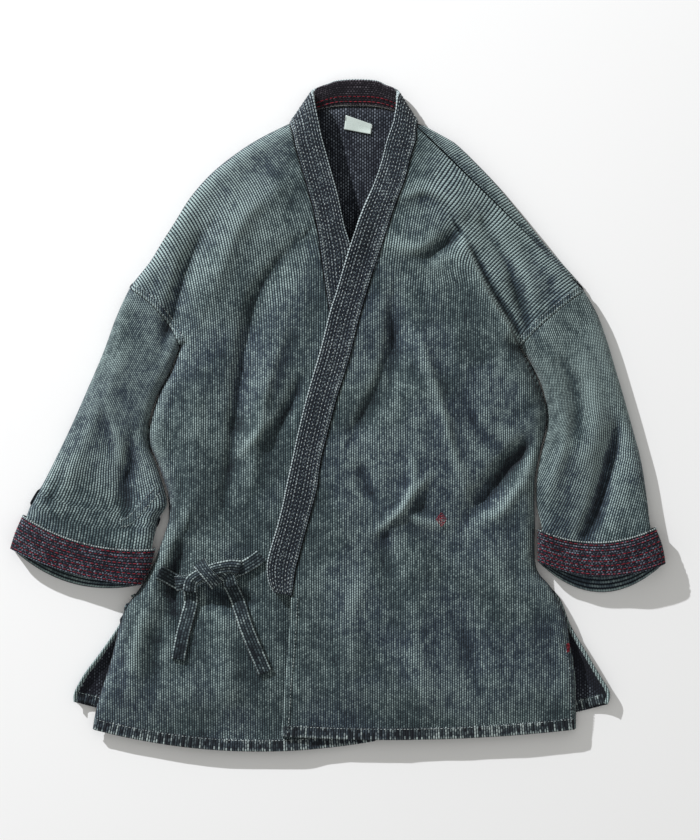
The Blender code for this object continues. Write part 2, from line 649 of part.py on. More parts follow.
def main():
    clear_scene()
    make_back_panel()
    right_front = make_right_front()
    make_left_front()
    make_collar_band()
    right_lines = (RIGHT_FOLD_LINE, RIGHT_UNDERARM_LINE)
    left_lines = (LEFT_FOLD_LINE, LEFT_UNDERARM_LINE)
    make_sleeve("right_sleeve", RIGHT_ARMHOLE, RIGHT_SLEEVE_ROWS, right_lines, RIGHT_FOLDS)
    make_sleeve("left_sleeve", LEFT_ARMHOLE, LEFT_SLEEVE_ROWS, left_lines, LEFT_FOLDS)
    make_cuff("right_cuff", RIGHT_CUFF_ROWS, RIGHT_SLEEVE_ROWS, right_lines, RIGHT_FOLDS)
    make_cuff("left_cuff", LEFT_CUFF_ROWS, LEFT_SLEEVE_ROWS, left_lines, LEFT_FOLDS)
    trees = surface_of([right_front])
    make_tie("side_tie", SIDE_TIE, trees)
    make_tie("front_tie", FRONT_TIE, trees)
    make_tie("side_tie_tail", SIDE_TAIL, trees)
    make_tie("front_tie_tail", FRONT_TAIL, trees)
    make_knot(trees)
    make_label()


main()
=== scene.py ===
# %% [markdown]
# # A quilted cotton jacket laid flat
# The jacket lies on its back with its fronts lapped and tied. Its cloth is sashiko: two layers
# of indigo cotton held together by close rows of running stitch, which makes it thick and
# ribbed. Washing wore the colour off the raised stitches and left it dark in the valleys.
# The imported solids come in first, because every panel here stands for one of them.

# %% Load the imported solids
import math

import bmesh
import bpy
import numpy as np
from mathutils import Matrix, Vector, noise
from mathutils.bvhtree import BVHTree


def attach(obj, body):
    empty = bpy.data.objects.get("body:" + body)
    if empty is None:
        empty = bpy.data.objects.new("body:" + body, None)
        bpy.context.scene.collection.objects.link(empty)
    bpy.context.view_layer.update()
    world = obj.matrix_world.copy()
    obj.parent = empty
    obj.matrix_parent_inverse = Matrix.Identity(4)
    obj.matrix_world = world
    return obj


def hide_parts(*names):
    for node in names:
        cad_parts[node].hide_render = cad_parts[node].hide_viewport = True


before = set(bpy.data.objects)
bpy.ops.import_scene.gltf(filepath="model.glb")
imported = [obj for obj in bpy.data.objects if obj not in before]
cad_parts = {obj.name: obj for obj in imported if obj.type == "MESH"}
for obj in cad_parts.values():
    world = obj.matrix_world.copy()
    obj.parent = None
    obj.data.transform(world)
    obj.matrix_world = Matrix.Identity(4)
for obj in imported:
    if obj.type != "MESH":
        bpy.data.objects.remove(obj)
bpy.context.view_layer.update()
MM = 0.001

# %% [markdown]
# ## Floor, camera and light
# A garment is photographed from straight above on a white floor. One hard lamp stands low on
# the upper left, so that it rakes across the folds and throws a crisp shadow to the lower
# right. The room gives back a soft, slightly warm light that fills the shadow.

# %% Floor, camera and light
VIEW_CENTRE = (0.015, -0.0045)
VIEW_HEIGHT = 1.008
CAMERA_HEIGHT = 3.2
KEY_TOWARDS = (-0.66, 0.751)
KEY_ELEVATION = math.radians(22.5)
KEY_DISTANCE = 5.0
KEY_SIZE = 0.06
KEY_POWER = 345
KEY_COLOUR = (0.985, 0.99, 1.0)
ROOM_COLOUR = (1.0, 0.99, 0.945, 1)
ROOM_STRENGTH = 0.47
FLOOR_COLOUR = (0.93, 0.935, 0.95, 1)
FLOOR_HALF = 3
FLOOR_DROP = 0.0004

scene = bpy.context.scene
scene.view_settings.view_transform = "Standard"

camera_data = bpy.data.cameras.new("camera")
camera_data.sensor_fit = "VERTICAL"
camera_data.sensor_height = 24
camera_data.lens = camera_data.sensor_height * CAMERA_HEIGHT / VIEW_HEIGHT
camera = bpy.data.objects.new("camera", camera_data)
camera.location = (*VIEW_CENTRE, CAMERA_HEIGHT)
scene.collection.objects.link(camera)
scene.camera = camera


def lamp(name, size, power, colour, place):
    """A square area lamp that looks at the middle of the floor."""
    data = bpy.data.lights.new(name, "AREA")
    data.size = size
    data.energy = power
    data.color = colour
    made = bpy.data.objects.new(name, data)
    made.location = place
    made.rotation_euler = Vector(place).to_track_quat("Z", "Y").to_euler()
    scene.collection.objects.link(made)


flat = KEY_DISTANCE * math.cos(KEY_ELEVATION)
key_place = (KEY_TOWARDS[0] * flat, KEY_TOWARDS[1] * flat, KEY_DISTANCE * math.sin(KEY_ELEVATION))
lamp("key", KEY_SIZE, KEY_POWER, KEY_COLOUR, key_place)

scene.world = bpy.data.worlds.new("studio")
scene.world.use_nodes = True
room = scene.world.node_tree.nodes["Background"].inputs
room["Color"].default_value = ROOM_COLOUR
room["Strength"].default_value = ROOM_STRENGTH

floor_mesh = bmesh.new()
bmesh.ops.create_grid(floor_mesh, x_segments=1, y_segments=1, size=FLOOR_HALF)
bmesh.ops.translate(floor_mesh, verts=floor_mesh.verts, vec=(0, 0, -FLOOR_DROP))
floor_data = bpy.data.meshes.new("floor")
floor_mesh.to_mesh(floor_data)
floor_mesh.free()
floor = bpy.data.objects.new("floor", floor_data)
scene.collection.objects.link(floor)
floor_paint = bpy.data.materials.new("floor_paint")
floor_paint.use_nodes = True
paint = floor_paint.node_tree.nodes["Principled BSDF"].inputs
paint["Base Color"].default_value = FLOOR_COLOUR
paint["Roughness"].default_value = 0.9
floor_data.materials.append(floor_paint)
print("camera lens:", round(camera_data.lens, 1), "mm, key lamp at", [round(v, 2) for v in key_place])

# %% [markdown]
# ## Lines of the jacket
# All tables are in millimetres, with X to the right of the picture and Y towards the neck.
# "Right" and "left" are the wearer's: the right sleeve is on the left of the picture.
# A silhouette is the line where cloth folds over and goes down to the floor. Each front is a
# row of points from the side to the collar band, for every section from neck to hem.

# %% Sizes and lines of the jacket
CLOTH = 2.2
SEAM_GAP = 0.35
LAYER_GAP = 1.6
RIM = 6.0
RIM_GAP = 1.3
ROLL = 15.0
BODY_RISE = 20.0
SLEEVE_RISE = 17.0
HEM_RISE = 8.5
BAND_THICK = 4.4
BAND_PROUD = 1.4
CUFF_GAP = 0.8
TIE_WIDTH = 17.0
TIE_THICK = 2.2
NECK_BOW = 21.6
NECK_POWER = 2.6

RIGHT_SILHOUETTE = [
    (-56, 351), (-79, 340), (-101, 328), (-122, 314), (-145, 296), (-163, 278), (-179, 258),
    (-195, 232), (-211, 207), (-225, 184), (-249, 153), (-265, 118), (-280, 77), (-298, 35),
    (-316, -6), (-333, -42), (-351, -78), (-369, -110), (-376, -120), (-387, -142), (-393, -159),
]
LEFT_SILHOUETTE = [
    (96, 352), (111, 344), (129, 334), (145, 324), (163, 306), (179, 290), (198, 269),
    (218, 244), (237, 221), (255, 198), (276, 175), (295, 150), (310, 124), (322, 92),
    (332, 59), (343, 22), (353, -14), (363, -52), (371, -97), (379, -134), (387, -154),
    (393, -178),
]
RIGHT_SIDE = [
    (-188, 83), (-199, 53), (-215, 22), (-226, -25), (-213, -62), (-200, -109), (-213, -158),
    (-230, -196), (-256, -235), (-271, -292), (-287, -343), (-293, -374),
]
LEFT_SIDE = [
    (218, 83), (237, 50), (249, 14), (250, -10), (243, -40), (237, -70), (236, -100),
    (236.5, -132), (236, -164), (240, -186), (256, -206), (273, -240), (279, -278),
    (283, -302), (285, -340), (285, -374),
]
RIGHT_UNDERARM = [
    (-188, 83), (-200.2, 53), (-216.4, 22), (-227.3, -25), (-214.4, -62), (-201.6, -106),
    (-215, -124), (-219, -159), (-225, -180), (-236, -200),
]
LEFT_UNDERARM = [
    (218, 83), (238.2, 50), (250.2, 14), (251.2, -10), (244.3, -40), (238.4, -70), (237.6, -100),
    (241, -134), (236, -176),
]
RIGHT_ARMHOLE = {"top": (-249, 153), "underarm": (-188, 83), "bow": 8.0}
LEFT_ARMHOLE = {"top": (295, 150), "underarm": (218, 83), "bow": -3.0}

# Rows of the fronts from the neck point down: band seam x, y, bow of the row
RIGHT_FRONT_EDGE = [
    (-57, 350, 26), (-44, 305, 18), (-33, 262, 10), (-22, 214, 4), (-13, 152, 0),
    (1, 86, 0), (10, 34, 0), (20, -18, 0), (30, -80, 0), (39, -130, 0), (46, -176, 0),
    (50, -232, 0), (49, -290, -2), (47, -344, -12), (46, -388, -19),
]
LEFT_FRONT_EDGE = [
    (98, 344, 0), (91, 317, 0), (80, 281, 0), (64, 238, 0), (50, 196, 0), (36, 150, 0),
    (24, 106, 0), (10, 54, 0), (-6, 2, 0), (-18, -46, 0), (-26, -94, 0), (-40, -146, 0),
    (-53, -205, 0), (-56, -244, 0), (-59, -286, 0), (-62, -316, 2), (-64, -350, 6),
    (-67, -382, 8),
]
ARMHOLE_ROWS = 3

# Sleeves from armhole to mouth: outer x, outer y, inner x, inner y, bow, lift off the floor
RIGHT_SLEEVE_ROWS = [
    (-265, 118, -200.3, 53, 5, 0), (-280, 77, -216.5, 22, 3, 0), (-298, 35, -225.6, -8, 0, 0),
    (-316, -6, -225.3, -34, -3, 0), (-333, -42, -214.2, -66, -6, 0), (-351, -78, -204, -103, -9, 0),
    (-366, -104, -214, -124, -12, 0), (-371, -118, -222, -157, -13, 2.9),
    (-379, -139, -228, -180, -11, 2.9), (-384, -153, -238, -196, -8, 2.9),
]
LEFT_SLEEVE_ROWS = [
    (310, 124, 233.4, 60, -3, 0), (322, 92, 245.4, 34, -3, 0), (332, 59, 251, 6, -2, 0),
    (343, 22, 249.6, -22, -1, 0), (353, -14, 242.9, -48, 0, 0), (363, -52, 238.4, -76, 4, 0),
    (369, -90, 238, -104, 9, 0), (374, -133, 244.5, -134, 14, 2.9),
    (380, -154, 244.5, -155, 15, 2.9), (384, -170, 244.5, -168, 15, 2.9),
]
# Cuffs from their worn top edge to the mouth: outer x, y, inner x, y, bow, bow of the back layer
RIGHT_CUFF_ROWS = [
    (-376, -118, -218, -158, -14, -14), (-385, -139, -224, -182, -11, -15),
    (-391, -158, -235, -202, -8, -21),
]
LEFT_CUFF_ROWS = [
    (380, -133, 240, -135, 16, 16), (388, -154, 239.5, -157, 17, 24),
    (392, -176, 240, -174, 16, 36),
]

BACK_SHOULDER_Y = (347.5, 340, 328, 314, 296, 278, 258, 232, 207, 184, 165)
BACK_HIP_ROWS = [
    (-244, 266, -218), (-263, 280, -252), (-285, 299, -284), (-303, 313, -308), (-315, 326, -330),
]
BACK_HEM = {"left": (-316, -342), "right": (324, -345), "bow": 44.0}
LEFT_SHOULDER_SEAM = [(98, 344), (295, 150)]

# Collar band: seam side x, y and free side x, y, from the hidden end up to the neck and down
RIGHT_LAPEL = [
    (50, -206, 80, -202), (45, -166, 77, -160), (38, -124, 70, -117), (29, -70, 60, -63),
    (20, -16, 51, -9), (10, 38, 41, 46), (1, 86, 31, 94), (-9, 126, 22, 134),
    (-14, 156, 17, 164), (-19, 191, 16, 200), (-23, 221, 8, 228), (-30, 253, 1, 261),
    (-39, 285, -8, 294), (-50, 322, -19, 334),
]
LEFT_LAPEL = [
    (94, 331, 67, 352), (87, 308, 59, 329), (80, 281, 52, 302), (71, 258, 43, 276),
    (62, 232, 29, 243), (51, 198, 17, 209), (41, 168, 7, 176), (32, 138, -1, 149),
    (25, 113, -9, 124), (14, 68, -20, 80), (-1, 20, -35, 29), (-12, -22, -46, -15),
    (-20, -54, -53, -48), (-24, -85, -61, -84), (-31, -112, -65, -104), (-38, -138, -72, -132),
    (-45, -164, -80, -159), (-50, -183, -84, -178), (-53, -205, -82, -198), (-55, -214, -76, -210),
]
NECK_TURN = [
    (-53, 338, 19.4, -26, 368, 22), (-56.5, 348, 16, -29, 382, 19), (-57, 352, 10, -31, 389, 12),
    (-52, 357, 3.5, -28, 392, 7), (-38, 364, 0.3, -12, 398, 8), (-4, 373.5, 0.3, 0, 402, 9),
    (22, 374.2, 0.3, 23, 403.5, 9.5), (49, 373, 0.3, 46, 402, 9), (75, 366, 0.3, 58, 397, 8),
    (91, 358, 3.5, 70, 392, 7), (96.5, 353.5, 10, 74, 388, 12), (95.5, 349, 16, 72, 382, 19),
    (94, 339, 19.4, 70, 368, 22),
]
SIDE_TIE = [(-213, -186), (-205, -190), (-196, -196), (-189, -200)]
FRONT_TIE = [(-91, -166), (-100, -173), (-114, -181), (-123, -184)]
SIDE_TAIL = [(-176, -208), (-175, -222), (-180, -242), (-185, -262), (-190, -290)]
FRONT_TAIL = [(-128, -201), (-119, -221), (-109, -251), (-98, -278), (-86, -306)]
LABEL = [(8, 344), (40, 338), (41.5, 350), (10, 361)]
print("lines of the jacket:", len(RIGHT_SILHOUETTE) + len(LEFT_SILHOUETTE), "silhouette points")

# %% [markdown]
# ## Folds placed by hand
# Thick quilted cloth doesn't crease sharply. It lies in long soft troughs and ridges that
# start where something pulls: the shoulder, the band, the tie and the waist. Each fold is a
# path with a height and a width on either side. A narrow side makes a crease and a wide side
# makes a slope. A power near 2 rounds the fold and a power near 1 gives it a crest.

# %% Folds: height, left width, right width, power, path
RIGHT_FOLDS = [
    (7.5, 15, 22, 1.5, [(-66, 276), (-100, 250), (-124, 216), (-138, 180), (-152, 140)]),
    (-10, 16, 9, 1.5, [(-158, 220), (-180, 176), (-196, 124), (-206, 74)]),
    (-10, 20, 9, 1.45, [(-48, 208), (-92, 152), (-108, 96), (-118, 20), (-126, -50), (-134, -112)]),
    (6.5, 9, 20, 1.4, [(-62, 110), (-84, 40), (-96, -30), (-106, -92)]),
    (6.5, 20, 20, 1.6, [(-160, 50), (-170, -10), (-166, -80), (-178, -136)]),
    (-7, 9, 7, 1.4, [(-44, 42), (-56, 12), (-70, -12)]),
    (5, 6, 12, 1.3, [(-73, 4), (-94, -20), (-116, -44)]),
    (-12, 22, 12, 1.5, [(-184, -146), (-196, -200), (-190, -262)]),
    (-8, 12, 18, 1.5, [(-158, -204), (-132, -216), (-96, -218)]),
    (5, 14, 12, 1.5, [(-228, -222), (-240, -276), (-250, -334)]),
    (-4, 10, 12, 1.5, [(-206, -226), (-216, -280), (-220, -330)]),
    (4, 16, 18, 1.6, [(-140, -240), (-130, -300), (-132, -350)]),
    (6, 16, 22, 1.5, [(-258, 70), (-290, 0), (-326, -80)]),
    (-9, 17, 10, 1.5, [(-240, -20), (-252, -80), (-250, -126)]),
    (-4, 8, 10, 1.4, [(-284, 36), (-276, -10), (-266, -56)]),
    (4, 7, 10, 1.3, [(-276, 20), (-264, -24), (-254, -60)]),
    (-4, 8, 9, 1.4, [(-330, -60), (-340, -90), (-350, -108)]),
]
LEFT_FOLDS = [
    (8, 15, 8, 1.3, [(78, 262), (104, 270), (130, 260), (148, 238), (154, 212)]),
    (-10, 13, 10, 1.6, [(104, 192), (130, 208), (150, 226)]),
    (7, 12, 10, 1.3, [(64, 206), (96, 200), (126, 216)]),
    (10, 5, 28, 1.25, [(148, 212), (182, 144), (212, 94), (236, 40), (246, 18)]),
    (-7, 3.5, 4.5, 1.2, [(154, 214), (187, 149), (217, 99), (241, 44)]),
    (-9, 12, 7, 1.5, [(176, 230), (204, 184), (222, 128), (234, 92)]),
    (6, 9, 8, 1.4, [(190, 222), (220, 176), (238, 132)]),
    (-3.5, 7, 7, 1.4, [(222, 208), (250, 168), (262, 140)]),
    (-10, 16, 8, 1.5, [(66, 140), (66, 84), (52, 34), (20, -18)]),
    (6.5, 6, 12, 1.25, [(98, 94), (110, 54), (126, 4), (136, -36), (152, -80)]),
    (-6, 9, 9, 1.5, [(28, -56), (32, -76), (42, -96)]),
    (-7, 11, 14, 1.5, [(56, -136), (58, -166), (64, -194)]),
    (6.5, 7, 7, 1.2, [(48, -136), (76, -112), (108, -70)]),
    (4.5, 6, 6, 1.2, [(76, -112), (90, -80), (90, -52)]),
    (4, 6, 7, 1.2, [(76, -114), (104, -126), (134, -128)]),
    (-15, 14, 12, 1.5, [(246, -30), (222, -44), (200, -64), (180, -98)]),
    (5, 8, 10, 1.3, [(240, -66), (216, -86), (196, -112), (170, -124)]),
    (-6, 11, 12, 1.6, [(176, -86), (168, -110), (146, -128)]),
    (-5, 9, 10, 1.5, [(150, 20), (172, -20), (196, -44)]),
    (5, 20, 22, 1.7, [(166, -150), (208, -220), (232, -280)]),
    (-4, 14, 14, 1.6, [(120, -200), (150, -260), (170, -330)]),
    (4, 14, 16, 1.7, [(30, -180), (14, -250), (24, -320)]),
    (4, 14, 16, 1.7, [(90, -230), (96, -290), (110, -350)]),
    (-12, 13, 8, 1.5, [(338, -8), (324, -58), (312, -104), (294, -148)]),
    (6.5, 12, 10, 1.4, [(250, 40), (266, -4), (268, -34), (256, -70), (240, -104)]),
    (5.5, 12, 14, 1.5, [(296, 70), (310, 6), (292, -62)]),
    (-5, 8, 9, 1.4, [(272, 62), (288, 20), (286, -24)]),
]
print("folds:", len(RIGHT_FOLDS), "and", len(LEFT_FOLDS))

# %% [markdown]
# ## Height of the cloth
# The height at any point follows from its distance to the nearest silhouette: zero slope on
# top, a quarter ellipse at the edge. Folds are added to it. A faint uneven swell, from layered
# smooth noise, keeps the flat parts from looking pressed.

# %% Curves through rows, distances and height
def smoothstep(low, high, value):
    share = np.clip((value - low) / (high - low), 0.0, 1.0)
    return share * share * (3 - 2 * share)


def smooth_max(a, b, blend=1.6):
    return 0.5 * (a + b + np.sqrt((a - b) ** 2 + blend**2))


def along(rows, t):
    """The row at t, on a smooth curve through all rows; t runs from 0 to len(rows) - 1."""
    rows = np.asarray(rows, float)
    last = len(rows) - 1
    i = min(int(t), last - 1)
    f = t - i
    before, here, there, after = (rows[min(max(k, 0), last)] for k in (i - 1, i, i + 1, i + 2))
    bend = 2 * here + (there - before) * f
    bend = bend + (2 * before - 5 * here + 4 * there - after) * f**2
    return 0.5 * (bend + (3 * here - before - 3 * there + after) * f**3)


def smooth_line(points, steps=3):
    last = len(points) - 1
    return np.array([along(points, k / steps) for k in range(last * steps + 1)])


def run_length(path):
    """How far along a path each of its points lies."""
    return np.cumsum(np.linalg.norm(np.diff(path, axis=0, prepend=path[:1]), axis=1))


def left_of(path):
    """Unit steps to the left of a path in the plan, at each of its points."""
    run = np.gradient(path, axis=0)
    return np.stack([-run[:, 1], run[:, 0]], axis=1) / np.hypot(run[:, 0], run[:, 1])[:, None]


def to_line(points, line):
    """Distance to a line, the side of it that a point lies on, and the share along it."""
    best = np.full(len(points), 1e9)
    side = np.zeros(len(points))
    share = np.zeros(len(points))
    for k in range(len(line) - 1):
        a, run = line[k], line[k + 1] - line[k]
        f = np.clip((points - a) @ run / (run @ run), 0, 1)
        off = points - a - f[:, None] * run
        distance = np.hypot(off[:, 0], off[:, 1])
        nearer = distance < best
        best = np.where(nearer, distance, best)
        side = np.where(nearer, np.sign(run[0] * off[:, 1] - run[1] * off[:, 0]), side)
        share = np.where(nearer, (k + f) / (len(line) - 1), share)
    return best, side, share


def rolled(distance):
    """A quarter ellipse: 0 at a fold line, 1 once the cloth lies level."""
    return np.sqrt(1 - (1 - np.clip(distance / ROLL, 0, 1)) ** 2)


def fold_relief(points, folds):
    relief = np.zeros(len(points))
    for height, left_width, right_width, power, path in folds:
        distance, side, share = to_line(points, smooth_line(path, 4))
        blend = 0.5 + 0.5 * np.tanh(side * distance / 3.0)
        width = right_width + (left_width - right_width) * blend
        ends = np.sin(math.pi * np.clip(0.1 + 0.8 * share, 0, 1)) ** 0.8
        rounded = np.sqrt(distance**2 + 2.25) - 1.5
        relief += height * np.exp(-((rounded / width) ** power)) * ends
    return relief


def swell(points, size, seed):
    """Smooth noise from -1 to 1, with swells of this size."""
    return np.array([noise.noise(Vector((x / size, y / size, seed))) for x, y in points])


def level(points):
    """How high the cloth lies away from its fold lines, lower over the sleeves."""
    sleeve = smoothstep(170, 330, np.abs(points[:, 0]))
    return BODY_RISE - (BODY_RISE - SLEEVE_RISE) * sleeve


def cloth_top(points, lines, folds):
    """Top of the cloth between its fold lines, with its folds and an uneven swell."""
    distance = np.min([to_line(points, line)[0] for line in lines], axis=0)
    base = RIM + RIM_GAP
    uneven = 1.5 * swell(points, 46, 3.1) + 0.7 * swell(points, 19, 8.4)
    relief = fold_relief(points, folds) + uneven
    crest = level(points) - base + relief * smoothstep(2, 26, distance)
    return base + crest * rolled(distance)


def hem_fall(points, hem_y=-388.0):
    """1 at the hem, where the cloth lies lowest, and 0 some way above it."""
    return smoothstep(70, 0, points[:, 1] - hem_y)


def lapel_x(rows, y, column):
    """X of a lapel's seam side (column 0) or free side (column 2) at y."""
    rows = sorted(rows, key=lambda row: row[column + 1])
    return np.interp(y, [row[column + 1] for row in rows], [row[column] for row in rows])


RIGHT_FOLD_LINE = smooth_line(RIGHT_SILHOUETTE)
LEFT_FOLD_LINE = smooth_line(LEFT_SILHOUETTE)
RIGHT_SIDE_LINE = smooth_line(RIGHT_SIDE)
LEFT_SIDE_LINE = smooth_line(LEFT_SIDE)
RIGHT_UNDERARM_LINE = smooth_line(RIGHT_UNDERARM)
LEFT_UNDERARM_LINE = smooth_line(LEFT_UNDERARM)


def right_layer(points):
    """Top of the right front, which sinks where the left front lies over it."""
    top = cloth_top(points, (RIGHT_FOLD_LINE, RIGHT_SIDE_LINE), RIGHT_FOLDS)
    x, y = points[:, 0], points[:, 1]
    free = lapel_x(LEFT_LAPEL, y, 2)
    hidden = smoothstep(-6, 55, x - free) * smoothstep(230, 190, y)
    near = smoothstep(-70, 0, x - free) * smoothstep(240, 150, y)
    top = top + (15.0 - top) * 0.75 * near + fold_relief(points, RIGHT_FOLDS) * 0.6 * near
    top = top + (9.0 - top) * hidden
    return top + (HEM_RISE - top) * hem_fall(points) * 0.8 * smoothstep(0, 12, top - RIM)


def right_stack(points):
    """Top of whatever the left front has to clear: the right front or its band."""
    x, y = points[:, 0], points[:, 1]
    free = lapel_x(RIGHT_LAPEL, y, 2)
    edge = np.where(y > -206, free, 50.0)
    over_band = (y > -212) * BAND_PROUD
    return right_layer(points) + over_band - np.clip(x - edge - 16, 0, None) * 0.22


def left_layer(points):
    """Top of the left front, which has to clear what it laps over."""
    top = cloth_top(points, (LEFT_FOLD_LINE, LEFT_SIDE_LINE), LEFT_FOLDS)
    sink = hem_fall(points) * 0.62 * smoothstep(0, 12, top - RIM)
    top = top + (HEM_RISE - top) * sink
    near_lap = points[:, 0] < 130
    under = np.full(len(points), -50.0)
    under[near_lap] = right_stack(points[near_lap]) + CLOTH + LAYER_GAP
    return np.where(points[:, 1] < 300, smooth_max(top, under), top)


sample = np.array([(-100.0, 100.0), (120.0, -200.0)])
print("cloth heights at two places:", right_layer(sample).round(1), left_layer(sample).round(1))

# %% [markdown]
# ## The weave as a node group
# A sashiko cloth shows columns of short raised stitches with dark valleys between. The group
# reads the piece's own UV map, called grain, in metres: X runs across the columns and Y along
# them. It gives each stitch a rounded puff and a random value of its own, so that no two wear
# alike. A staggered start in every second column makes dots of it.

# %% Node helpers and the weave group
def add_node(tree, kind, **values):
    """A node with its properties set by name."""
    made = tree.nodes.new(kind)
    for key, value in values.items():
        setattr(made, key, value)
    return made


def feed(tree, node, sockets):
    """Give input sockets, by number or name, a link or a value of their own."""
    for key, value in sockets.items():
        if isinstance(value, bpy.types.NodeSocket):
            tree.links.new(value, node.inputs[key])
        else:
            node.inputs[key].default_value = value
    return node


def maths(tree, operation, a, b=0.0, c=0.0, clamp=False):
    node = add_node(tree, "ShaderNodeMath", operation=operation, use_clamp=clamp)
    return feed(tree, node, {0: a, 1: b, 2: c}).outputs[0]


def ramped(tree, value, low, high):
    """0 below low, 1 above high and a smooth step between."""
    node = add_node(tree, "ShaderNodeMapRange", interpolation_type="SMOOTHSTEP")
    return feed(tree, node, {0: value, 1: low, 2: high, 3: 0.0, 4: 1.0}).outputs[0]


def noise_at(tree, vector, scale, detail=2.0):
    node = add_node(tree, "ShaderNodeTexNoise")
    return feed(tree, node, {"Vector": vector, "Scale": scale, "Detail": detail}).outputs[0]


def mixed(tree, share, low, high):
    """A colour between two others."""
    node = add_node(tree, "ShaderNodeMix", data_type="RGBA")
    return feed(tree, node, {0: share, 6: low, 7: high}).outputs[2]


def new_group(name, inputs, outputs):
    group = bpy.data.node_groups.new(name, "ShaderNodeTree")
    for label, value in inputs.items():
        kind = "NodeSocketFloat"
        if isinstance(value, tuple):
            kind = "NodeSocketColor" if len(value) == 4 else "NodeSocketVector"
        socket = group.interface.new_socket(name=label, in_out="INPUT", socket_type=kind)
        socket.default_value = value
    for label, kind in outputs.items():
        group.interface.new_socket(name=label, in_out="OUTPUT", socket_type=kind)
    return group, group.nodes.new("NodeGroupInput").outputs, group.nodes.new("NodeGroupOutput")


def use_group(tree, group, sockets):
    return feed(tree, add_node(tree, "ShaderNodeGroup", node_tree=group), sockets).outputs


weave, given, result = new_group(
    "sashiko_weave",
    {
        "Grain": (0.0, 0.0, 0.0), "Pitch": 0.0032, "Stitch": 0.0034, "Stagger": 0.5, "Waist": 0.5,
        "Wobble": 0.0006,
    },
    {"Puff": "NodeSocketFloat", "Chance": "NodeSocketFloat"},
)
drift = noise_at(weave, given["Grain"], 55.0, 1.0)
drift = maths(weave, "MULTIPLY", maths(weave, "SUBTRACT", drift, 0.5), given["Wobble"])
parts = feed(weave, add_node(weave, "ShaderNodeSeparateXYZ"), {0: given["Grain"]}).outputs
across = maths(weave, "DIVIDE", maths(weave, "ADD", parts[0], drift), given["Pitch"])
column = maths(weave, "FLOOR", across)
odd = maths(weave, "MODULO", maths(weave, "ABSOLUTE", column), 2.0)
odd = maths(weave, "MULTIPLY", odd, given["Stagger"])
lengthwise = maths(weave, "ADD", maths(weave, "DIVIDE", parts[1], given["Stitch"]), odd)
row = maths(weave, "FLOOR", lengthwise)


def chance_of(first, second):
    """A random value from 0 to 1 for each pair of whole numbers."""
    cell = feed(weave, add_node(weave, "ShaderNodeCombineXYZ"), {0: first, 1: second}).outputs[0]
    dice = add_node(weave, "ShaderNodeTexWhiteNoise", noise_dimensions="3D")
    return feed(weave, dice, {0: cell}).outputs[0]


def bump_over(value, power):
    """A crown over one cell: 0 at its ends and 1 in its middle."""
    centred = maths(weave, "ABSOLUTE", maths(weave, "SUBTRACT", maths(weave, "FRACT", value), 0.5))
    falling = maths(weave, "POWER", maths(weave, "MULTIPLY", centred, 2.0), power)
    return maths(weave, "SUBTRACT", 1.0, falling)


streak = chance_of(column, maths(weave, "FLOOR", maths(weave, "DIVIDE", row, 9.0)))
single = maths(weave, "MULTIPLY", chance_of(column, row), 0.65)
chance = maths(weave, "ADD", single, maths(weave, "MULTIPLY", streak, 0.35))
waist = maths(weave, "SUBTRACT", bump_over(lengthwise, 3.0), 1.0)
waist = maths(weave, "MULTIPLY", waist, given["Waist"])
puff = maths(weave, "MULTIPLY", bump_over(across, 2.0), maths(weave, "ADD", 1.0, waist))
feed(weave, result, {"Puff": puff, "Chance": chance})
print("weave group:", len(weave.nodes), "nodes")

# %% [markdown]
# ## Indigo that has washed out
# Indigo sits on the outside of the yarn, so the colour goes where the cloth is rubbed: on top
# of each stitch, on the crest of folds, over the shoulders and along edges. The group mixes
# three colours, for deep, washed and worn cloth. What decides is the puff of the stitch, the
# wear stored on the mesh, and noise at three sizes for uneven washing. The stored wear also
# holds painted light on the crests of folds and painted shade in their hollows.

# %% The fading group
fading, given, result = new_group(
    "indigo_fading",
    {
        "Place": (0.0, 0.0, 0.0), "Puff": 0.5, "Chance": 0.5, "Wear_and_fold_shading": 0.5, "Patches": 0.3,
        "Lot": 0.3, "Tinted": (0.05, 0.07, 0.11, 1.0), "Deep": (0.01, 0.015, 0.022, 1.0),
        "Washed": (0.07, 0.1, 0.12, 1.0), "Wear_And_Fold_Shading": (0.3, 0.37, 0.38, 1.0),
    },
    {"Colour": "NodeSocketColor", "Height": "NodeSocketFloat"},
)
large, small, fibre = (
    maths(fading, "SUBTRACT", noise_at(fading, given["Place"], scale, detail), 0.5)
    for scale, detail in ((17.0, 3.0), (95.0, 2.0), (1400.0, 2.0))
)
patches = maths(fading, "ADD", large, maths(fading, "MULTIPLY", small, 0.8))
patches = maths(fading, "MULTIPLY", patches, given["Patches"])
wear_and_fold_shading = maths(fading, "ADD", given["Wear_and_fold_shading"], patches)
lot = maths(fading, "MULTIPLY", maths(fading, "SUBTRACT", given["Chance"], 0.5), given["Lot"])
raised = ramped(fading, given["Puff"], 0.34, 0.85)
reach = maths(fading, "ADD", maths(fading, "ADD", 0.27, maths(fading, "MULTIPLY", wear_and_fold_shading, 0.98)), lot)
tone = maths(fading, "MULTIPLY", raised, reach)
tone = maths(fading, "ADD", tone, maths(fading, "MULTIPLY", wear_and_fold_shading, 0.09))
tone = maths(fading, "ADD", tone, maths(fading, "MULTIPLY", fibre, 0.35), clamp=True)
hue = ramped(fading, noise_at(fading, given["Place"], 9.0, 3.0), 0.44, 0.6)
washed = mixed(fading, maths(fading, "MULTIPLY", hue, 0.7), given["Washed"], given["Tinted"])
dyed = mixed(fading, ramped(fading, tone, 0.02, 0.56), given["Deep"], washed)
faded_colour = mixed(fading, ramped(fading, tone, 0.42, 1.05), dyed, given["Wear_And_Fold_Shading"])
height = maths(fading, "ADD", given["Puff"], maths(fading, "MULTIPLY", fibre, 0.5))
feed(fading, result, {"Colour": faded_colour, "Height": height})
print("fading group:", len(fading.nodes), "nodes")

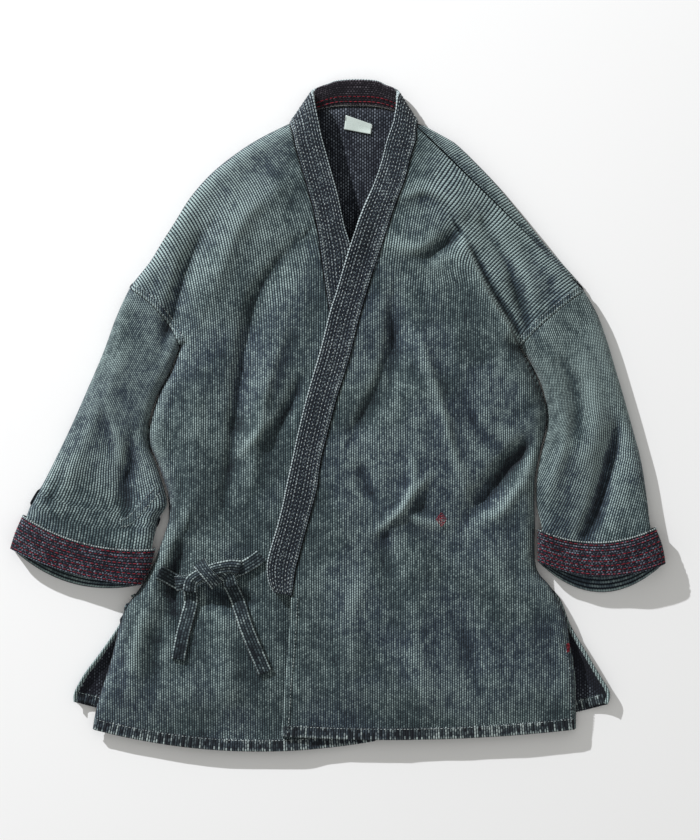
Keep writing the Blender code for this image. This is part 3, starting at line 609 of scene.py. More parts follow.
# %% [markdown]
# ## Finishes
# Every cloth on the jacket is the same two groups with its own sizes and colours. The inside
# of the cloth never met the wash as hard and stays nearly black. A soft sheen stands for the
# nap of the cotton. Thread is plain, with two tones of its own. Pitch, stitch and relief are
# in millimetres.

# %% Cloth materials
CLOTHS = {
    "washed_indigo": {
        "deep": (0.005, 0.009, 0.015), "washed": (0.053, 0.086, 0.096), "wear_and_fold_shading": (0.33, 0.43, 0.43),
        "tinted": (0.044, 0.067, 0.104), "pitch": 2.8, "stitch": 3.0, "stagger": 0.4, "waist": 0.42,
        "patches": 0.65, "lot": 0.4, "relief": 0.85,
    },
    "hem_indigo": {
        "deep": (0.006, 0.009, 0.014), "washed": (0.055, 0.078, 0.09), "wear_and_fold_shading": (0.42, 0.5, 0.5),
        "tinted": (0.04, 0.06, 0.085), "pitch": 2.9, "stitch": 4.5, "stagger": 0.3, "waist": 0.4,
        "patches": 1.2, "lot": 0.95, "relief": 0.7,
    },
    "inside_indigo": {
        "deep": (0.003, 0.004, 0.008), "washed": (0.011, 0.016, 0.028), "wear_and_fold_shading": (0.17, 0.2, 0.24),
        "tinted": (0.016, 0.018, 0.03), "pitch": 2.9, "stitch": 4.0, "stagger": 0.5, "waist": 1.0,
        "patches": 0.4, "lot": 0.5, "relief": 0.4,
    },
    "band_indigo": {
        "deep": (0.004, 0.006, 0.011), "washed": (0.034, 0.048, 0.066), "wear_and_fold_shading": (0.42, 0.5, 0.52),
        "tinted": (0.028, 0.04, 0.06), "pitch": 3.3, "stitch": 3.5, "stagger": 0.5, "waist": 0.95,
        "patches": 0.5, "lot": 0.4, "relief": 0.55,
    },
    "band_inside": {
        "deep": (0.004, 0.003, 0.006), "washed": (0.022, 0.018, 0.028), "wear_and_fold_shading": (0.22, 0.2, 0.24),
        "tinted": (0.02, 0.014, 0.022), "pitch": 2.9, "stitch": 3.6, "stagger": 0.5, "waist": 1.0,
        "patches": 0.4, "lot": 0.4, "relief": 0.4,
    },
    "cuff_inside": {
        "deep": (0.004, 0.004, 0.009), "washed": (0.014, 0.016, 0.029), "wear_and_fold_shading": (0.22, 0.26, 0.33),
        "tinted": (0.022, 0.016, 0.028), "pitch": 2.9, "stitch": 3.4, "stagger": 0.5, "waist": 0.95,
        "patches": 0.5, "lot": 0.7, "relief": 0.45,
    },
    "tie_indigo": {
        "deep": (0.005, 0.009, 0.014), "washed": (0.055, 0.082, 0.094), "wear_and_fold_shading": (0.4, 0.49, 0.49),
        "tinted": (0.03, 0.045, 0.07), "pitch": 3.4, "stitch": 3.4, "stagger": 0.5, "waist": 0.6,
        "patches": 0.8, "lot": 0.7, "relief": 0.6,
    },
    "label_cloth": {
        "deep": (0.42, 0.5, 0.47), "washed": (0.56, 0.64, 0.61), "wear_and_fold_shading": (0.72, 0.78, 0.76),
        "tinted": (0.52, 0.62, 0.6), "pitch": 0.7, "stitch": 0.9, "stagger": 0.5, "waist": 0.5,
        "patches": 0.2, "lot": 0.3, "relief": 0.06,
    },
}
THREADS = {
    "pale_thread": ((0.16, 0.21, 0.22), (0.5, 0.56, 0.56)),
    "grey_thread": ((0.05, 0.065, 0.1), (0.2, 0.25, 0.3)),
    "dark_thread": ((0.006, 0.009, 0.014), (0.03, 0.04, 0.05)),
    "red_thread": ((0.16, 0.006, 0.016), (0.36, 0.02, 0.04)),
    "white_thread": ((0.55, 0.6, 0.6), (0.8, 0.84, 0.84)),
}


def new_material(name):
    """A material, its tree, its shader and the place on the object."""
    made = bpy.data.materials.new(name)
    made.use_nodes = True
    tree = made.node_tree
    place = add_node(tree, "ShaderNodeTexCoord").outputs["Object"]
    return made, tree, tree.nodes["Principled BSDF"], place


def cloth_material(name):
    look = CLOTHS[name]
    made, tree, shader, place = new_material(name)
    grain = add_node(tree, "ShaderNodeUVMap", uv_map="grain").outputs[0]
    # The wear attribute also holds painted light on fold crests and painted shade in fold hollows
    wear = add_node(tree, "ShaderNodeAttribute", attribute_name="wear").outputs["Fac"]
    woven = use_group(tree, weave, {
        "Grain": grain, "Pitch": look["pitch"] * MM, "Stitch": look["stitch"] * MM,
        "Stagger": look["stagger"], "Waist": look["waist"],
    })
    tones = {key.title(): (*look[key], 1) for key in ("deep", "washed", "wear_and_fold_shading", "tinted")}
    faded = use_group(tree, fading, {
        "Place": place, "Puff": woven["Puff"], "Chance": woven["Chance"], "Wear_and_fold_shading": wear,
        "Patches": look["patches"], "Lot": look["lot"], **tones,
    })
    bump = add_node(tree, "ShaderNodeBump")
    feed(tree, bump, {"Distance": look["relief"] * MM, "Height": faded["Height"]})
    feed(tree, shader, {
        "Base Color": faded["Colour"], "Normal": bump.outputs[0], "Roughness": 0.92,
        "Specular IOR Level": 0.25, "Sheen Weight": 0.12, "Sheen Roughness": 0.5,
    })
    return made


def thread_material(name):
    dark, light = THREADS[name]
    made, tree, shader, place = new_material(name)
    share = ramped(tree, noise_at(tree, place, 260.0, 1.0), 0.35, 0.65)
    colour = mixed(tree, share, (*dark, 1), (*light, 1))
    feed(tree, shader, {"Base Color": colour, "Roughness": 0.75, "Specular IOR Level": 0.3})
    return made


FINISH = {name: cloth_material(name) for name in CLOTHS}
FINISH.update({name: thread_material(name) for name in THREADS})
print("cloth finishes:", ", ".join(FINISH))

# %% [markdown]
# ## One patch of cloth
# Every panel starts as a flat grid, whose points are then laid on the jacket. The grid keeps
# two things for the finish: the grain, as a UV map in metres, and the wear. Wear is worked out
# from the cloth itself: a point that stands above the cloth round it is paler, and one in a
# hollow is darker. This is partly wear on the crests of folds and partly painted light on the
# crests and painted shade in the hollows. Solidify gives the wall afterwards, with the inside
# finish on its inner face.

# %% The patch builder
PIECES = {}
GRIDS = {}


def facing_up(grid):
    """True if the patch through the grid faces up at its first columns."""
    run = grid[:-1, 1:4] - grid[:-1, 0:3]
    fall = grid[1:, 0:3] - grid[:-1, 0:3]
    return np.cross(run, fall)[..., 2].sum() > 0


def local_ridge(height, reach):
    """How far each point of a grid of heights stands above the mean of those round it."""
    padded_height = np.pad(height, reach, mode="edge")
    total = np.zeros_like(height)
    rows, columns = height.shape
    for i in range(0, 2 * reach + 1):
        for j in range(0, 2 * reach + 1):
            total += padded_height[i : i + rows, j : j + columns]
    return height - total / (2 * reach + 1) ** 2


def patch(name, grid, grain, finish, inside, wall=CLOTH, closed=False, keep=None, wear=0.4,
          crest_wear_and_shading=0.16):
    """Cloth through grid[row][column] in millimetres, thickened away from its outer face.

    The rows are turned round where that makes the patch face up. The back has its outer face
    below, so it stays as it comes, and keep says which of its points stay.
    """
    wear = np.broadcast_to(wear, grid.shape[:2])
    if keep is None and not facing_up(grid):
        grid, grain, wear = grid[::-1], grain[::-1], wear[::-1]
    rows, columns = grid.shape[:2]
    mesh = bmesh.new()
    bmesh.ops.create_grid(mesh, x_segments=columns - 1, y_segments=rows - 1, size=0.5)
    data = bpy.data.meshes.new(name + "_cloth")
    mesh.to_mesh(data)
    data.vertices.foreach_set("co", (grid * MM).ravel())
    corner_verts = np.zeros(len(data.loops), int)
    data.loops.foreach_get("vertex_index", corner_verts)
    grain_map = data.uv_layers.new(name="grain")
    grain_map.uv.foreach_set("vector", (grain.reshape(-1, 2)[corner_verts] * MM).ravel())
    # Paler on fold crests and darker in fold hollows: partly wear, partly painted light on the crests
    # and painted shade in the hollows
    paleness = wear + crest_wear_and_shading * np.clip(local_ridge(grid[:, :, 2], 4), -2.5, 2.5)
    data.attributes.new("wear", "FLOAT", "POINT").data.foreach_set("value", paleness.ravel())
    mesh.clear()
    mesh.from_mesh(data)
    mesh.verts.ensure_lookup_table()
    if keep is not None:
        unused = [vert for vert, stays in zip(mesh.verts, keep.ravel()) if not stays]
        bmesh.ops.delete(mesh, geom=unused, context="VERTS")
    if closed:
        bmesh.ops.remove_doubles(mesh, verts=mesh.verts, dist=0.00001)
    for face in mesh.faces:
        face.smooth = True
    mesh.to_mesh(data)
    mesh.free()
    made = bpy.data.objects.new(name + "_cloth", data)
    scene.collection.objects.link(made)
    for side in (finish, inside):
        data.materials.append(FINISH[side])
    thicken = made.modifiers.new("wall", "SOLIDIFY")
    thicken.thickness = wall * MM
    thicken.offset = -1
    thicken.use_even_offset = False
    thicken.material_offset = 1
    PIECES[name] = made
    GRIDS[name] = grid
    print(f"{name}: {len(data.polygons)} faces, area {sum(p.area for p in data.polygons):.3f} m2")
    return made


# %% [markdown]
# ## The two fronts
# Each front is laid section by section from the side to the collar band. Near the shoulder
# the ribs of the cloth turn until they meet the shoulder line squarely, because the panel is
# cut straight and the shoulder slopes. The grain map bends in the same way.

# %% The fronts
def bowed(start, end, shares, bow):
    """Points from start to end at the given shares, bowed to the left of the way there."""
    start, end = np.asarray(start, float), np.asarray(end, float)
    run = end - start
    normal = np.array([-run[1], run[0]]) / np.hypot(*run)
    shares = np.asarray(shares, float)[:, None]
    return start + shares * run + normal * bow * 4 * shares * (1 - shares)


def shoulder_row(line, start, end, shares):
    """Points of the shoulder line from start to end, at these shares of its length."""
    within = (line[:, 1] > start[1]) & (line[:, 1] < end[1])
    points = np.array([start, *line[within][::-1], end])
    length = run_length(points)
    wanted = np.asarray(shares) * length[-1]
    return np.stack([np.interp(wanted, length, points[:, k]) for k in (0, 1)], axis=1)


def armhole(seam, share):
    return bowed(seam["top"], seam["underarm"], [share], seam["bow"])[0]


FRONT_COLUMNS = 112
ROLL_COLUMNS = 9
SEAM_ROW_COUNT = 56
BODY_ROW_COUNT = 168


def across_row(length, count):
    """Shares of a row of this length, close together over the roll at its start."""
    turn = ROLL * np.linspace(0, 1, ROLL_COLUMNS) ** 1.6 / length
    return np.concatenate([turn, np.linspace(turn[-1], 1.0, count - ROLL_COLUMNS + 1)[1:]])


def front_row(front, t, shares=None):
    """Plan points of one section of a front, at t along its table of edges."""
    edge, side, lapel, seam = front["edge"], front["side"], front["lapel"], front["armhole"]
    last = len(edge) - 1
    if t <= ARMHOLE_ROWS:
        outer = armhole(seam, t / ARMHOLE_ROWS)
    else:
        outer = along(side, (t - ARMHOLE_ROWS) * (len(side) - 1) / (last - ARMHOLE_ROWS))
    edge_x, edge_y, bow = along(edge, t)
    inner = np.array([edge_x, edge_y])
    if edge_y > min(row[1] for row in lapel):
        inner[0] = float(lapel_x(lapel, edge_y, 0)) + front["apart"]
    if shares is None:
        shares = across_row(np.hypot(*(inner - outer)), FRONT_COLUMNS)
    row = bowed(outer, inner, shares, bow)
    if "shoulder" in front and t < 1:
        top_row = front_row(front, 0, shares) if t else row
        start, end = armhole(seam, 0), top_row[-1]
        straight = bowed(start, end, shares, edge[0][2])
        off = shoulder_row(front["shoulder"], start, end, shares) - straight
        row = row + off * (1 - t) ** 2 if t else straight + off
    return row


def shoulder_grain(points, seam_line, towards, reach=160, strength=1.0):
    """Grain of a front: upright ribs that turn until they meet the shoulder squarely."""
    distance = to_line(points, seam_line)[0]
    turned = np.clip(1 - distance / reach, 0, 1)
    shift = strength * reach / 3 * turned**3
    closer = 0.3 * turned * (points[:, 0] - 150 * towards)
    return np.stack([points[:, 0] + closer - shift * towards, points[:, 1] + 0.3 * shift], axis=1)


FLAP_SHIFT = (146, -44)


def flap_grain(points):
    """Grain of the left front, whose ribs lie flatter behind its pointed fold."""
    body = shoulder_grain(points, LEFT_FOLD_LINE, 1)
    behind = shoulder_grain(points, LEFT_FOLD_LINE, 1, 600, 1.15) + FLAP_SHIFT
    line = smooth_line(LEFT_FOLDS[3][4], 4)
    distance, side, share = to_line(points, line)
    x, y = points[:, 0], points[:, 1]
    top_x, top_y = line[0]
    beside_top = np.minimum(smoothstep(340, top_y, y), smoothstep(150, top_y, y))
    around = smoothstep(100, top_x, x) * beside_top
    beyond = np.where((y < top_y) & (side > 0) & (share < 1), 1.0, around)
    return body + (behind - body) * beyond[:, None]


def right_grain(points):
    return shoulder_grain(points, RIGHT_FOLD_LINE, -1)


RIGHT_FRONT = {
    "edge": RIGHT_FRONT_EDGE, "side": RIGHT_SIDE, "lapel": RIGHT_LAPEL + NECK_TURN[:2],
    "armhole": RIGHT_ARMHOLE, "apart": -(SEAM_GAP + 0.45), "shoulder": RIGHT_FOLD_LINE,
}
LEFT_FRONT = {
    "edge": LEFT_FRONT_EDGE, "side": LEFT_SIDE, "lapel": NECK_TURN[-2:][::-1] + LEFT_LAPEL,
    "armhole": LEFT_ARMHOLE, "apart": SEAM_GAP + 0.45,
}


def flat_rows(plan, height):
    """Rows of plan points with the height of the cloth at each."""
    flat_points = plan.reshape(-1, 2)
    raised = np.concatenate([flat_points, height(flat_points)[:, None]], axis=1)
    return raised.reshape(*plan.shape[:2], 3)


def make_front(name, front, height, grain_of, fades):
    last = len(front["edge"]) - 1
    times = [ARMHOLE_ROWS * k / SEAM_ROW_COUNT for k in range(SEAM_ROW_COUNT)]
    times += list(np.linspace(ARMHOLE_ROWS, last, BODY_ROW_COUNT))
    plan = np.array([front_row(front, t) for t in times])
    grid = flat_rows(plan, height)
    grain = grain_of(plan.reshape(-1, 2)).reshape(plan.shape)
    wear = 0.34 + fade_at(plan.reshape(-1, 2), fades).reshape(plan.shape[:2])
    return patch(name, grid, grain, "washed_indigo", "inside_indigo", wear=wear)


def fade_at(points, fades):
    """Extra wear from a table of rubbed places: x, y, radius, strength."""
    total = np.zeros(len(points))
    for x, y, radius, strength in fades:
        total += strength * np.exp(-((points[:, 0] - x) ** 2 + (points[:, 1] - y) ** 2) / radius**2)
    return total


RIGHT_FADES = [(-120, 270, 70, 0.2), (-200, 190, 70, 0.22), (-100, 240, 40, 0.12)]
LEFT_FADES = [(140, 280, 60, 0.2), (230, 190, 70, 0.32), (180, 240, 50, 0.2), (60, 220, 40, 0.1)]
make_front("right_front", RIGHT_FRONT, right_layer, right_grain, RIGHT_FADES)
make_front("left_front", LEFT_FRONT, left_layer, flap_grain, LEFT_FADES)

# %% [markdown]
# ## The back
# The back panel lies flat under everything. It shows inside the neck, beside the fronts at the
# hips, and over the left shoulder, where it rolls forward as far as the shoulder seam.

# %% The back panel
BACK_COLUMNS = 120
BACK_ROLL_COLUMNS = 10
BACK_STEPS = 5
CURL_RISE = 7.0
CURL_WIDTH = 9


def rim_curve(distance, lift=0.0):
    """Underside of a rolled edge: a quarter circle from the floor up to the fold line."""
    return lift + (RIM - lift) * (1 - np.sqrt(1 - (1 - np.clip(distance / RIM, 0, 1)) ** 2))


def silhouette_x(line, y):
    down = line[line[:, 1].argsort()]
    return float(np.interp(y, down[:, 1], down[:, 0]))


def shoulder_seam_x(y):
    """X of the left shoulder seam, which is straight."""
    (top_x, top_y), (low_x, low_y) = LEFT_SHOULDER_SEAM
    return top_x + (y - top_y) / (low_y - top_y) * (low_x - top_x)


def neck_seam(share):
    left, right = RIGHT_SILHOUETTE[0], LEFT_SILHOUETTE[0]
    rise = NECK_BOW * (1 - abs(2 * share - 1) ** NECK_POWER)
    return np.array([left[0] + (right[0] - left[0]) * share, left[1] + rise])


def back_rows():
    """Left x, y, right x, y and bow of each row of the back, from the neck to the hem."""
    rows = []
    for index, y in enumerate(BACK_SHOULDER_Y):
        bow = NECK_BOW * 0.55 * 0.4**index if index < 4 else 0.0
        rows.append((silhouette_x(RIGHT_FOLD_LINE, y), y, silhouette_x(LEFT_FOLD_LINE, y), y, bow))
    for share in (0, 0.25, 0.5, 0.75, 1):
        rows.append((*armhole(RIGHT_ARMHOLE, share), *armhole(LEFT_ARMHOLE, share), 0))
    for k in range(1, 9):
        rows.append((*along(RIGHT_SIDE, k * 7.2 / 8), *along(LEFT_SIDE, k * 9.0 / 8), 0))
    rows += [(left, y, right, y, 0) for left, right, y in BACK_HIP_ROWS]
    return rows + [(*BACK_HEM["left"], *BACK_HEM["right"], -BACK_HEM["bow"])]


def make_back_panel():
    shares = np.linspace(0, 1, BACK_COLUMNS)
    shares = shares - 0.012 * np.sin(2 * math.pi * shares)
    rolls = np.linspace(0, 1, BACK_ROLL_COLUMNS + 1)[1:]
    table = back_rows()
    hips = len(table) - len(BACK_HIP_ROWS) - 1
    seam = np.array([neck_seam(share) for share in np.linspace(0.01, 0.99, BACK_COLUMNS)])
    lines = (RIGHT_FOLD_LINE, RIGHT_SIDE_LINE, LEFT_FOLD_LINE, LEFT_SIDE_LINE)
    grid, keep, plans = [], [], [seam - (0, SEAM_GAP)]
    for t in np.linspace(0, len(table) - 1, BACK_STEPS * (len(table) - 1) + 1):
        left_x, left_y, right_x, right_y, bow = along(table, t)
        plans.append(bowed((left_x, left_y), (right_x, right_y), shares, bow))
    for index, plan in enumerate(plans):
        t = (index - 1) / BACK_STEPS
        edge = np.min([to_line(plan, line)[0] for line in lines], axis=0)
        height = rim_curve(edge) * smoothstep(hips + 0.6, hips - 0.4, t)
        right_x, right_y = plan[-1]
        reach = max(right_x - shoulder_seam_x(right_y) - 2 * SEAM_GAP, 1.0)
        over = np.array([(right_x - reach * share, right_y) for share in rolls])
        flat_part, rolled_part = (np.column_stack(part) for part in
                                  ((plan, height), (over, left_layer(over))))
        grid.append(np.concatenate([flat_part, rolled_part]))
        rolled_up = 0 < index and t <= len(BACK_SHOULDER_Y) - 1
        keep.append([True] * BACK_COLUMNS + [rolled_up] * len(rolls))
    grid = np.array(grid)
    grain = grid[:, :, 0:2].copy()
    over = grain[:, BACK_COLUMNS:]
    turned = shoulder_grain(over.reshape(-1, 2), LEFT_FOLD_LINE, 1, 600, 1.15)
    grain[:, BACK_COLUMNS:] = turned.reshape(over.shape)
    curl = np.exp(-np.minimum(shares, 1 - shares) * 560 / CURL_WIDTH) * CURL_RISE
    first = BACK_STEPS * hips
    for index in range(first, len(grid)):
        grid[index, :BACK_COLUMNS, 2] += curl * smoothstep(first, first + 9, index)
    return grid, grain, np.array(keep)


back_grid, back_grain, back_keep = make_back_panel()
patch("back_panel", back_grid, back_grain, "washed_indigo", "inside_indigo", keep=back_keep)

# %% [markdown]
# ## Sleeves
# A sleeve is a tube lying flat: each section goes over the top from the outer edge to the
# underarm and returns along the floor. Its last part lies a little off the floor, to leave
# room for the cuff.

# %% Sleeves
TOP_COLUMNS = 64
FLOOR_COLUMNS = 30
SLEEVE_ROW_COUNT = 76
TOP_SHARES = 0.5 - 0.5 * np.cos(math.pi * np.linspace(0, 1, TOP_COLUMNS))
FLOOR_SHARES = (0.5 + 0.5 * np.cos(math.pi * np.linspace(0, 1, FLOOR_COLUMNS + 2)))[1:-1]


def ring(row, top_height, gap=(0, 0), under_bow=None):
    """One section of a sleeve: over the top from the outer edge, then back along the floor."""
    outer_x, outer_y, inner_x, inner_y, bow, lift = row
    outer, inner = (outer_x, outer_y), (inner_x, inner_y)
    lift = max(lift, 0.0)
    over = bowed(outer, inner, TOP_SHARES, bow)
    under = bowed(outer, inner, FLOOR_SHARES, bow if under_bow is None else under_bow)
    length = math.dist(outer, inner)
    from_end = np.minimum(FLOOR_SHARES, 1 - FLOOR_SHARES) * length
    top = np.column_stack([over, top_height(over)])
    bottom = np.column_stack([under, rim_curve(from_end, lift)])
    return np.concatenate([top, bottom, top[:1]]) + [*gap, 0]


def tube_grain(grid, lean=0.0):
    """Grain of a tube: X round it and Y along it, both measured on its surface."""
    round_it = np.cumsum(np.linalg.norm(np.diff(grid, axis=1, prepend=grid[:, :1]), axis=2), axis=1)
    girth = round_it[:, -1:].mean()
    round_it = round_it / round_it[:, -1:] * girth
    length = run_length(grid[:, TOP_COLUMNS // 2])
    along_it = np.repeat(length[:, None], grid.shape[1], axis=1)
    return np.stack([round_it + lean * along_it, along_it], axis=2)


def make_sleeve(name, seam, rows, lines, folds, lean, fades):
    top, underarm = np.array(seam["top"], float), np.array(seam["underarm"], float)
    draw_in = (underarm - top) * 0.007
    table = [(*(top + 0.3 * draw_in), *(underarm - draw_in), seam["bow"], 0), *rows]
    run = underarm - top
    away = np.array([-run[1], run[0]]) / np.hypot(*run)
    away = away if away[1] < 0 else -away
    cuff_start = len(table) - 3
    grid = []
    under_cuff = cuff_start + np.linspace(0, 2, 13)[1:]
    for t in [*np.linspace(0, cuff_start, SLEEVE_ROW_COUNT), *under_cuff]:
        gap = away * (SEAM_GAP + 0.25) * smoothstep(0.1, 0, t)
        grid.append(ring(along(table, t), lambda p: cloth_top(p, lines, folds), gap))
    grid = np.array(grid)
    grain = tube_grain(grid, lean)
    plan = grid[:, :, 0:2].reshape(-1, 2)
    wear = 0.38 + fade_at(plan, fades).reshape(grid.shape[:2])
    return patch(name, grid, grain, "washed_indigo", "inside_indigo", closed=True, wear=wear)


RIGHT_LINES = (RIGHT_FOLD_LINE, RIGHT_UNDERARM_LINE)
LEFT_LINES = (LEFT_FOLD_LINE, LEFT_UNDERARM_LINE)
RIGHT_SLEEVE_FADES = [(-280, 60, 60, 0.15), (-330, -60, 60, 0.1)]
LEFT_SLEEVE_FADES = [(300, 80, 70, 0.28), (340, -20, 60, 0.15), (280, -40, 50, 0.12)]
make_sleeve("right_sleeve", RIGHT_ARMHOLE, RIGHT_SLEEVE_ROWS, RIGHT_LINES, RIGHT_FOLDS, 0.0,
            RIGHT_SLEEVE_FADES)
make_sleeve("left_sleeve", LEFT_ARMHOLE, LEFT_SLEEVE_ROWS, LEFT_LINES, LEFT_FOLDS, -0.35,
            LEFT_SLEEVE_FADES)

# %% [markdown]
# ## Turned-back cuffs
# The cuff is the end of the same tube turned inside out over it, which is why it shows the
# unfaded inside with its rows of red thread. It follows the sleeve below, a little above it,
# and stands looser where it is wide.

# %% Cuffs
def make_cuff(name, cuff_rows, sleeve_rows, lines, folds):
    grid = []
    first = len(sleeve_rows) - 3
    for step in np.linspace(0, 2, 25):
        x0, y0, x1, y1, bow, under_bow = along(cuff_rows, step)
        inner = along(sleeve_rows, first + step)
        over = bowed(inner[0:2], inner[2:4], TOP_SHARES, inner[4])
        length = math.hypot(x1 - x0, y1 - y0)
        near_end = np.minimum(TOP_SHARES, 1 - TOP_SHARES) * length
        clear = (CLOTH + CUFF_GAP) * rolled(near_end)
        loose = 1.2 * smoothstep(0, 40, near_end) * (0.6 + 0.4 * math.cos(step * 2.2))
        raised = cloth_top(over, lines, folds) + clear + loose
        grid.append(ring((x0, y0, x1, y1, bow, 0), lambda p, z=raised: z, under_bow=under_bow))
    grid = np.array(grid)
    grain = tube_grain(grid)[:, :, ::-1]
    wear = 0.3 + 0.9 * np.exp(-grain[:, :, 0] / 1.6)
    wear = wear + 0.25 * smoothstep(3.0, 0.5, grain[:, :, 0].max() - grain[:, :, 0])
    return patch(name, grid, grain, "cuff_inside", "washed_indigo", closed=True, wear=wear,
                 crest_wear_and_shading=0.05)


make_cuff("right_cuff", RIGHT_CUFF_ROWS, RIGHT_SLEEVE_ROWS, RIGHT_LINES, RIGHT_FOLDS)
make_cuff("left_cuff", LEFT_CUFF_ROWS, LEFT_SLEEVE_ROWS, LEFT_LINES, LEFT_FOLDS)

# %% [markdown]
# ## The collar band
# The band is one long strip of folded cloth, stitched lengthwise until it is stiff. It comes
# up one front, stands round the back of the neck, where its inner face shows, and goes down
# the other front over the lap. Close rows of stitching leave shallow channels along it, and
# its free edge is worn to a pale line.

# %% The collar band
BAND_COLUMNS = 34
BAND_STEPS = 9
CHANNELS = 7


def sampled(rows):
    """Rows close together on the smooth curve through a table."""
    steps = np.linspace(0, len(rows) - 1, BAND_STEPS * (len(rows) - 1) + 1)
    return np.array([along(rows, t) for t in steps])


def lapel_height(points, right_side):
    """Top of the band, which lies over its own front and clears the other one."""
    if right_side:
        return right_layer(points) + BAND_PROUD
    clear = right_stack(points) + BAND_THICK + LAYER_GAP
    own = left_layer(points) + BAND_PROUD
    return np.where(points[:, 1] < 300, smooth_max(own, clear, 1.0), own)


def make_collar_band():
    shares = np.linspace(0, 1, BAND_COLUMNS)
    neck = np.array(NECK_TURN, float)
    for end, right_side in ((0, True), (-1, False)):
        for column in (0, 3):
            here = neck[end, column : column + 2][None, :]
            neck[end, column + 2] = lapel_height(here, right_side)[0]
    parts = []
    for rows, right_side in ((RIGHT_LAPEL, True), (LEFT_LAPEL, False)):
        samples = sampled(rows)
        run = samples[:, None, 2:4] - samples[:, None, 0:2]
        plan = samples[:, None, 0:2] + shares[None, :, None] * run
        parts.append(flat_rows(plan, lambda p, side=right_side: lapel_height(p, side)))
    turn = sampled(neck)
    middle = turn[:, None, 0:3] + shares[None, :, None] * (turn[:, None, 3:6] - turn[:, None, 0:3])
    grid = np.concatenate([parts[0], middle, parts[1]])
    width = np.linalg.norm(grid[:, -1] - grid[:, 0], axis=1).mean()
    length = run_length(grid.mean(axis=1))
    grain = np.stack(np.broadcast_arrays(shares[None, :] * width, length[:, None]), axis=2)
    worn_edge = 0.75 * np.exp(-(1 - shares) * width / 1.3) + 0.4 * np.exp(-shares * width / 1.0)
    channel = np.cos(2 * math.pi * CHANNELS * shares)
    return patch("collar_band", grid, grain, "band_indigo", "band_inside", wall=BAND_THICK,
                 wear=0.22 + worn_edge + 0.1 * channel, crest_wear_and_shading=0.06)


make_collar_band()

# %% [markdown]
# ## Ties
# The tie is a flat tape sewn into the side seam, and its partner is sewn under the band. They
# cross, wrap once and hang down as two tails. Each tape follows the front that it lies on.

# %% Ties
def surface_of(names):
    graph = bpy.context.evaluated_depsgraph_get()
    return [BVHTree.FromObject(PIECES[name], graph) for name in names]


def height_under(trees, x, y):
    found = [tree.ray_cast(Vector((x * MM, y * MM, 0.2)), Vector((0, 0, -1)))[0] for tree in trees]
    return max([hit.z / MM for hit in found if hit] or [0.0])


def tape_patch(name, grid, route, shares, width, wear, crest_wear_and_shading):
    """Tape through a grid, worn pale along both of its edges."""
    length = run_length(route)
    grain = np.stack(np.broadcast_arrays((shares + 0.5) * width, length[:, None]), axis=2)
    wear = wear + 0.95 * np.exp(-(0.5 - np.abs(shares)) * width / 1.1)
    return patch(name, np.array(grid), grain, "tie_indigo", "tie_indigo", wall=TIE_THICK,
                 wear=wear, crest_wear_and_shading=crest_wear_and_shading)


def make_tape(name, route, trees, lift=0.9, width=TIE_WIDTH, columns=9):
    """A flat tape along a route in the plan, just above what lies under it."""
    route = smooth_line(route, 12)
    shares = np.linspace(-0.5, 0.5, columns)
    grid = []
    for point, across_tie in zip(route, left_of(route)):
        row = [point + across_tie * width * share for share in shares]
        grid.append([(x, y, height_under(trees, x, y) + lift + TIE_THICK) for x, y in row])
    return tape_patch(name, grid, route, shares, width, 0.12, 0.0)


front_surface = surface_of(["right_front"])
for name, route in (("side_tie", SIDE_TIE), ("front_tie", FRONT_TIE),
                    ("side_tie_tail", SIDE_TAIL), ("front_tie_tail", FRONT_TAIL)):
    make_tape(name, route, front_surface)

# %% [markdown]
# ## Hems, edges and felled seams
# Every cut edge is turned up and stitched down, which leaves a strip that stands proud of the
# cloth, with a groove where it ends. Its folds rub first, so crossbars of pale and dark run
# over it. A felled seam is the same strip with a row of stitches near either side.

# %% Strips along edges and seams
EXTRAS = {}


def beside(path, distance):
    """The path moved to its own left by the distance."""
    return path + left_of(path) * distance


def on_surface(path, height, lift):
    """Points of a plan path, this far above the cloth."""
    return np.column_stack([path, height(path) + lift])


def cast_height(names):
    """A function that finds the top of these pieces below any point."""
    trees = surface_of(names)
    return lambda points: np.array([height_under(trees, x, y) for x, y in points])


def edge_strip(name, carrier, path, width, height, lift=0.9, drop=2.8, bars=0.2, wear=0.14,
               crossed=True, columns=8):
    """A turned-up edge to the left of the path, which drops over the cut side of the cloth.

    A crossed strip has its ribs and crossbars across it, and another keeps the cloth's ribs.
    """
    offsets = [-0.55, -0.5, *(width * np.linspace(0.03, 1, columns))]
    lifts = [lift - drop, 0.45 * lift, 0.85 * lift, *[lift] * (columns - 3), 0.6 * lift, -0.45]
    if drop == 0:
        offsets, lifts = offsets[2:], [-0.45, 0.6 * lift, *lifts[3:]]
    ground = height(path)
    rows = []
    for offset, rise in zip(offsets, lifts):
        line = beside(path, offset)
        own = height(line) if offset > 1 else ground
        rows.append(np.column_stack([line, own + rise]))
    grid = np.array(rows)
    length, from_edge = run_length(path), np.array(offsets)[:, None]
    grain = grid[:, :, 0:2]
    if crossed:
        grain = np.stack(np.broadcast_arrays(length[None, :], from_edge), axis=2)
    bar = np.sin(2 * math.pi * length / 9.2 + 0.9 * np.sin(length / 31.0))
    paleness = wear + bars * np.clip(bar * 1.8, -1, 1) + 0.5 * np.exp(-np.abs(from_edge) / 1.2)
    EXTRAS.setdefault(carrier, []).append(name)
    finish = "hem_indigo" if crossed else "washed_indigo"
    return patch(name, grid, grain, finish, finish, wall=0.7, wear=paleness, crest_wear_and_shading=0.0)


BATCH = 30


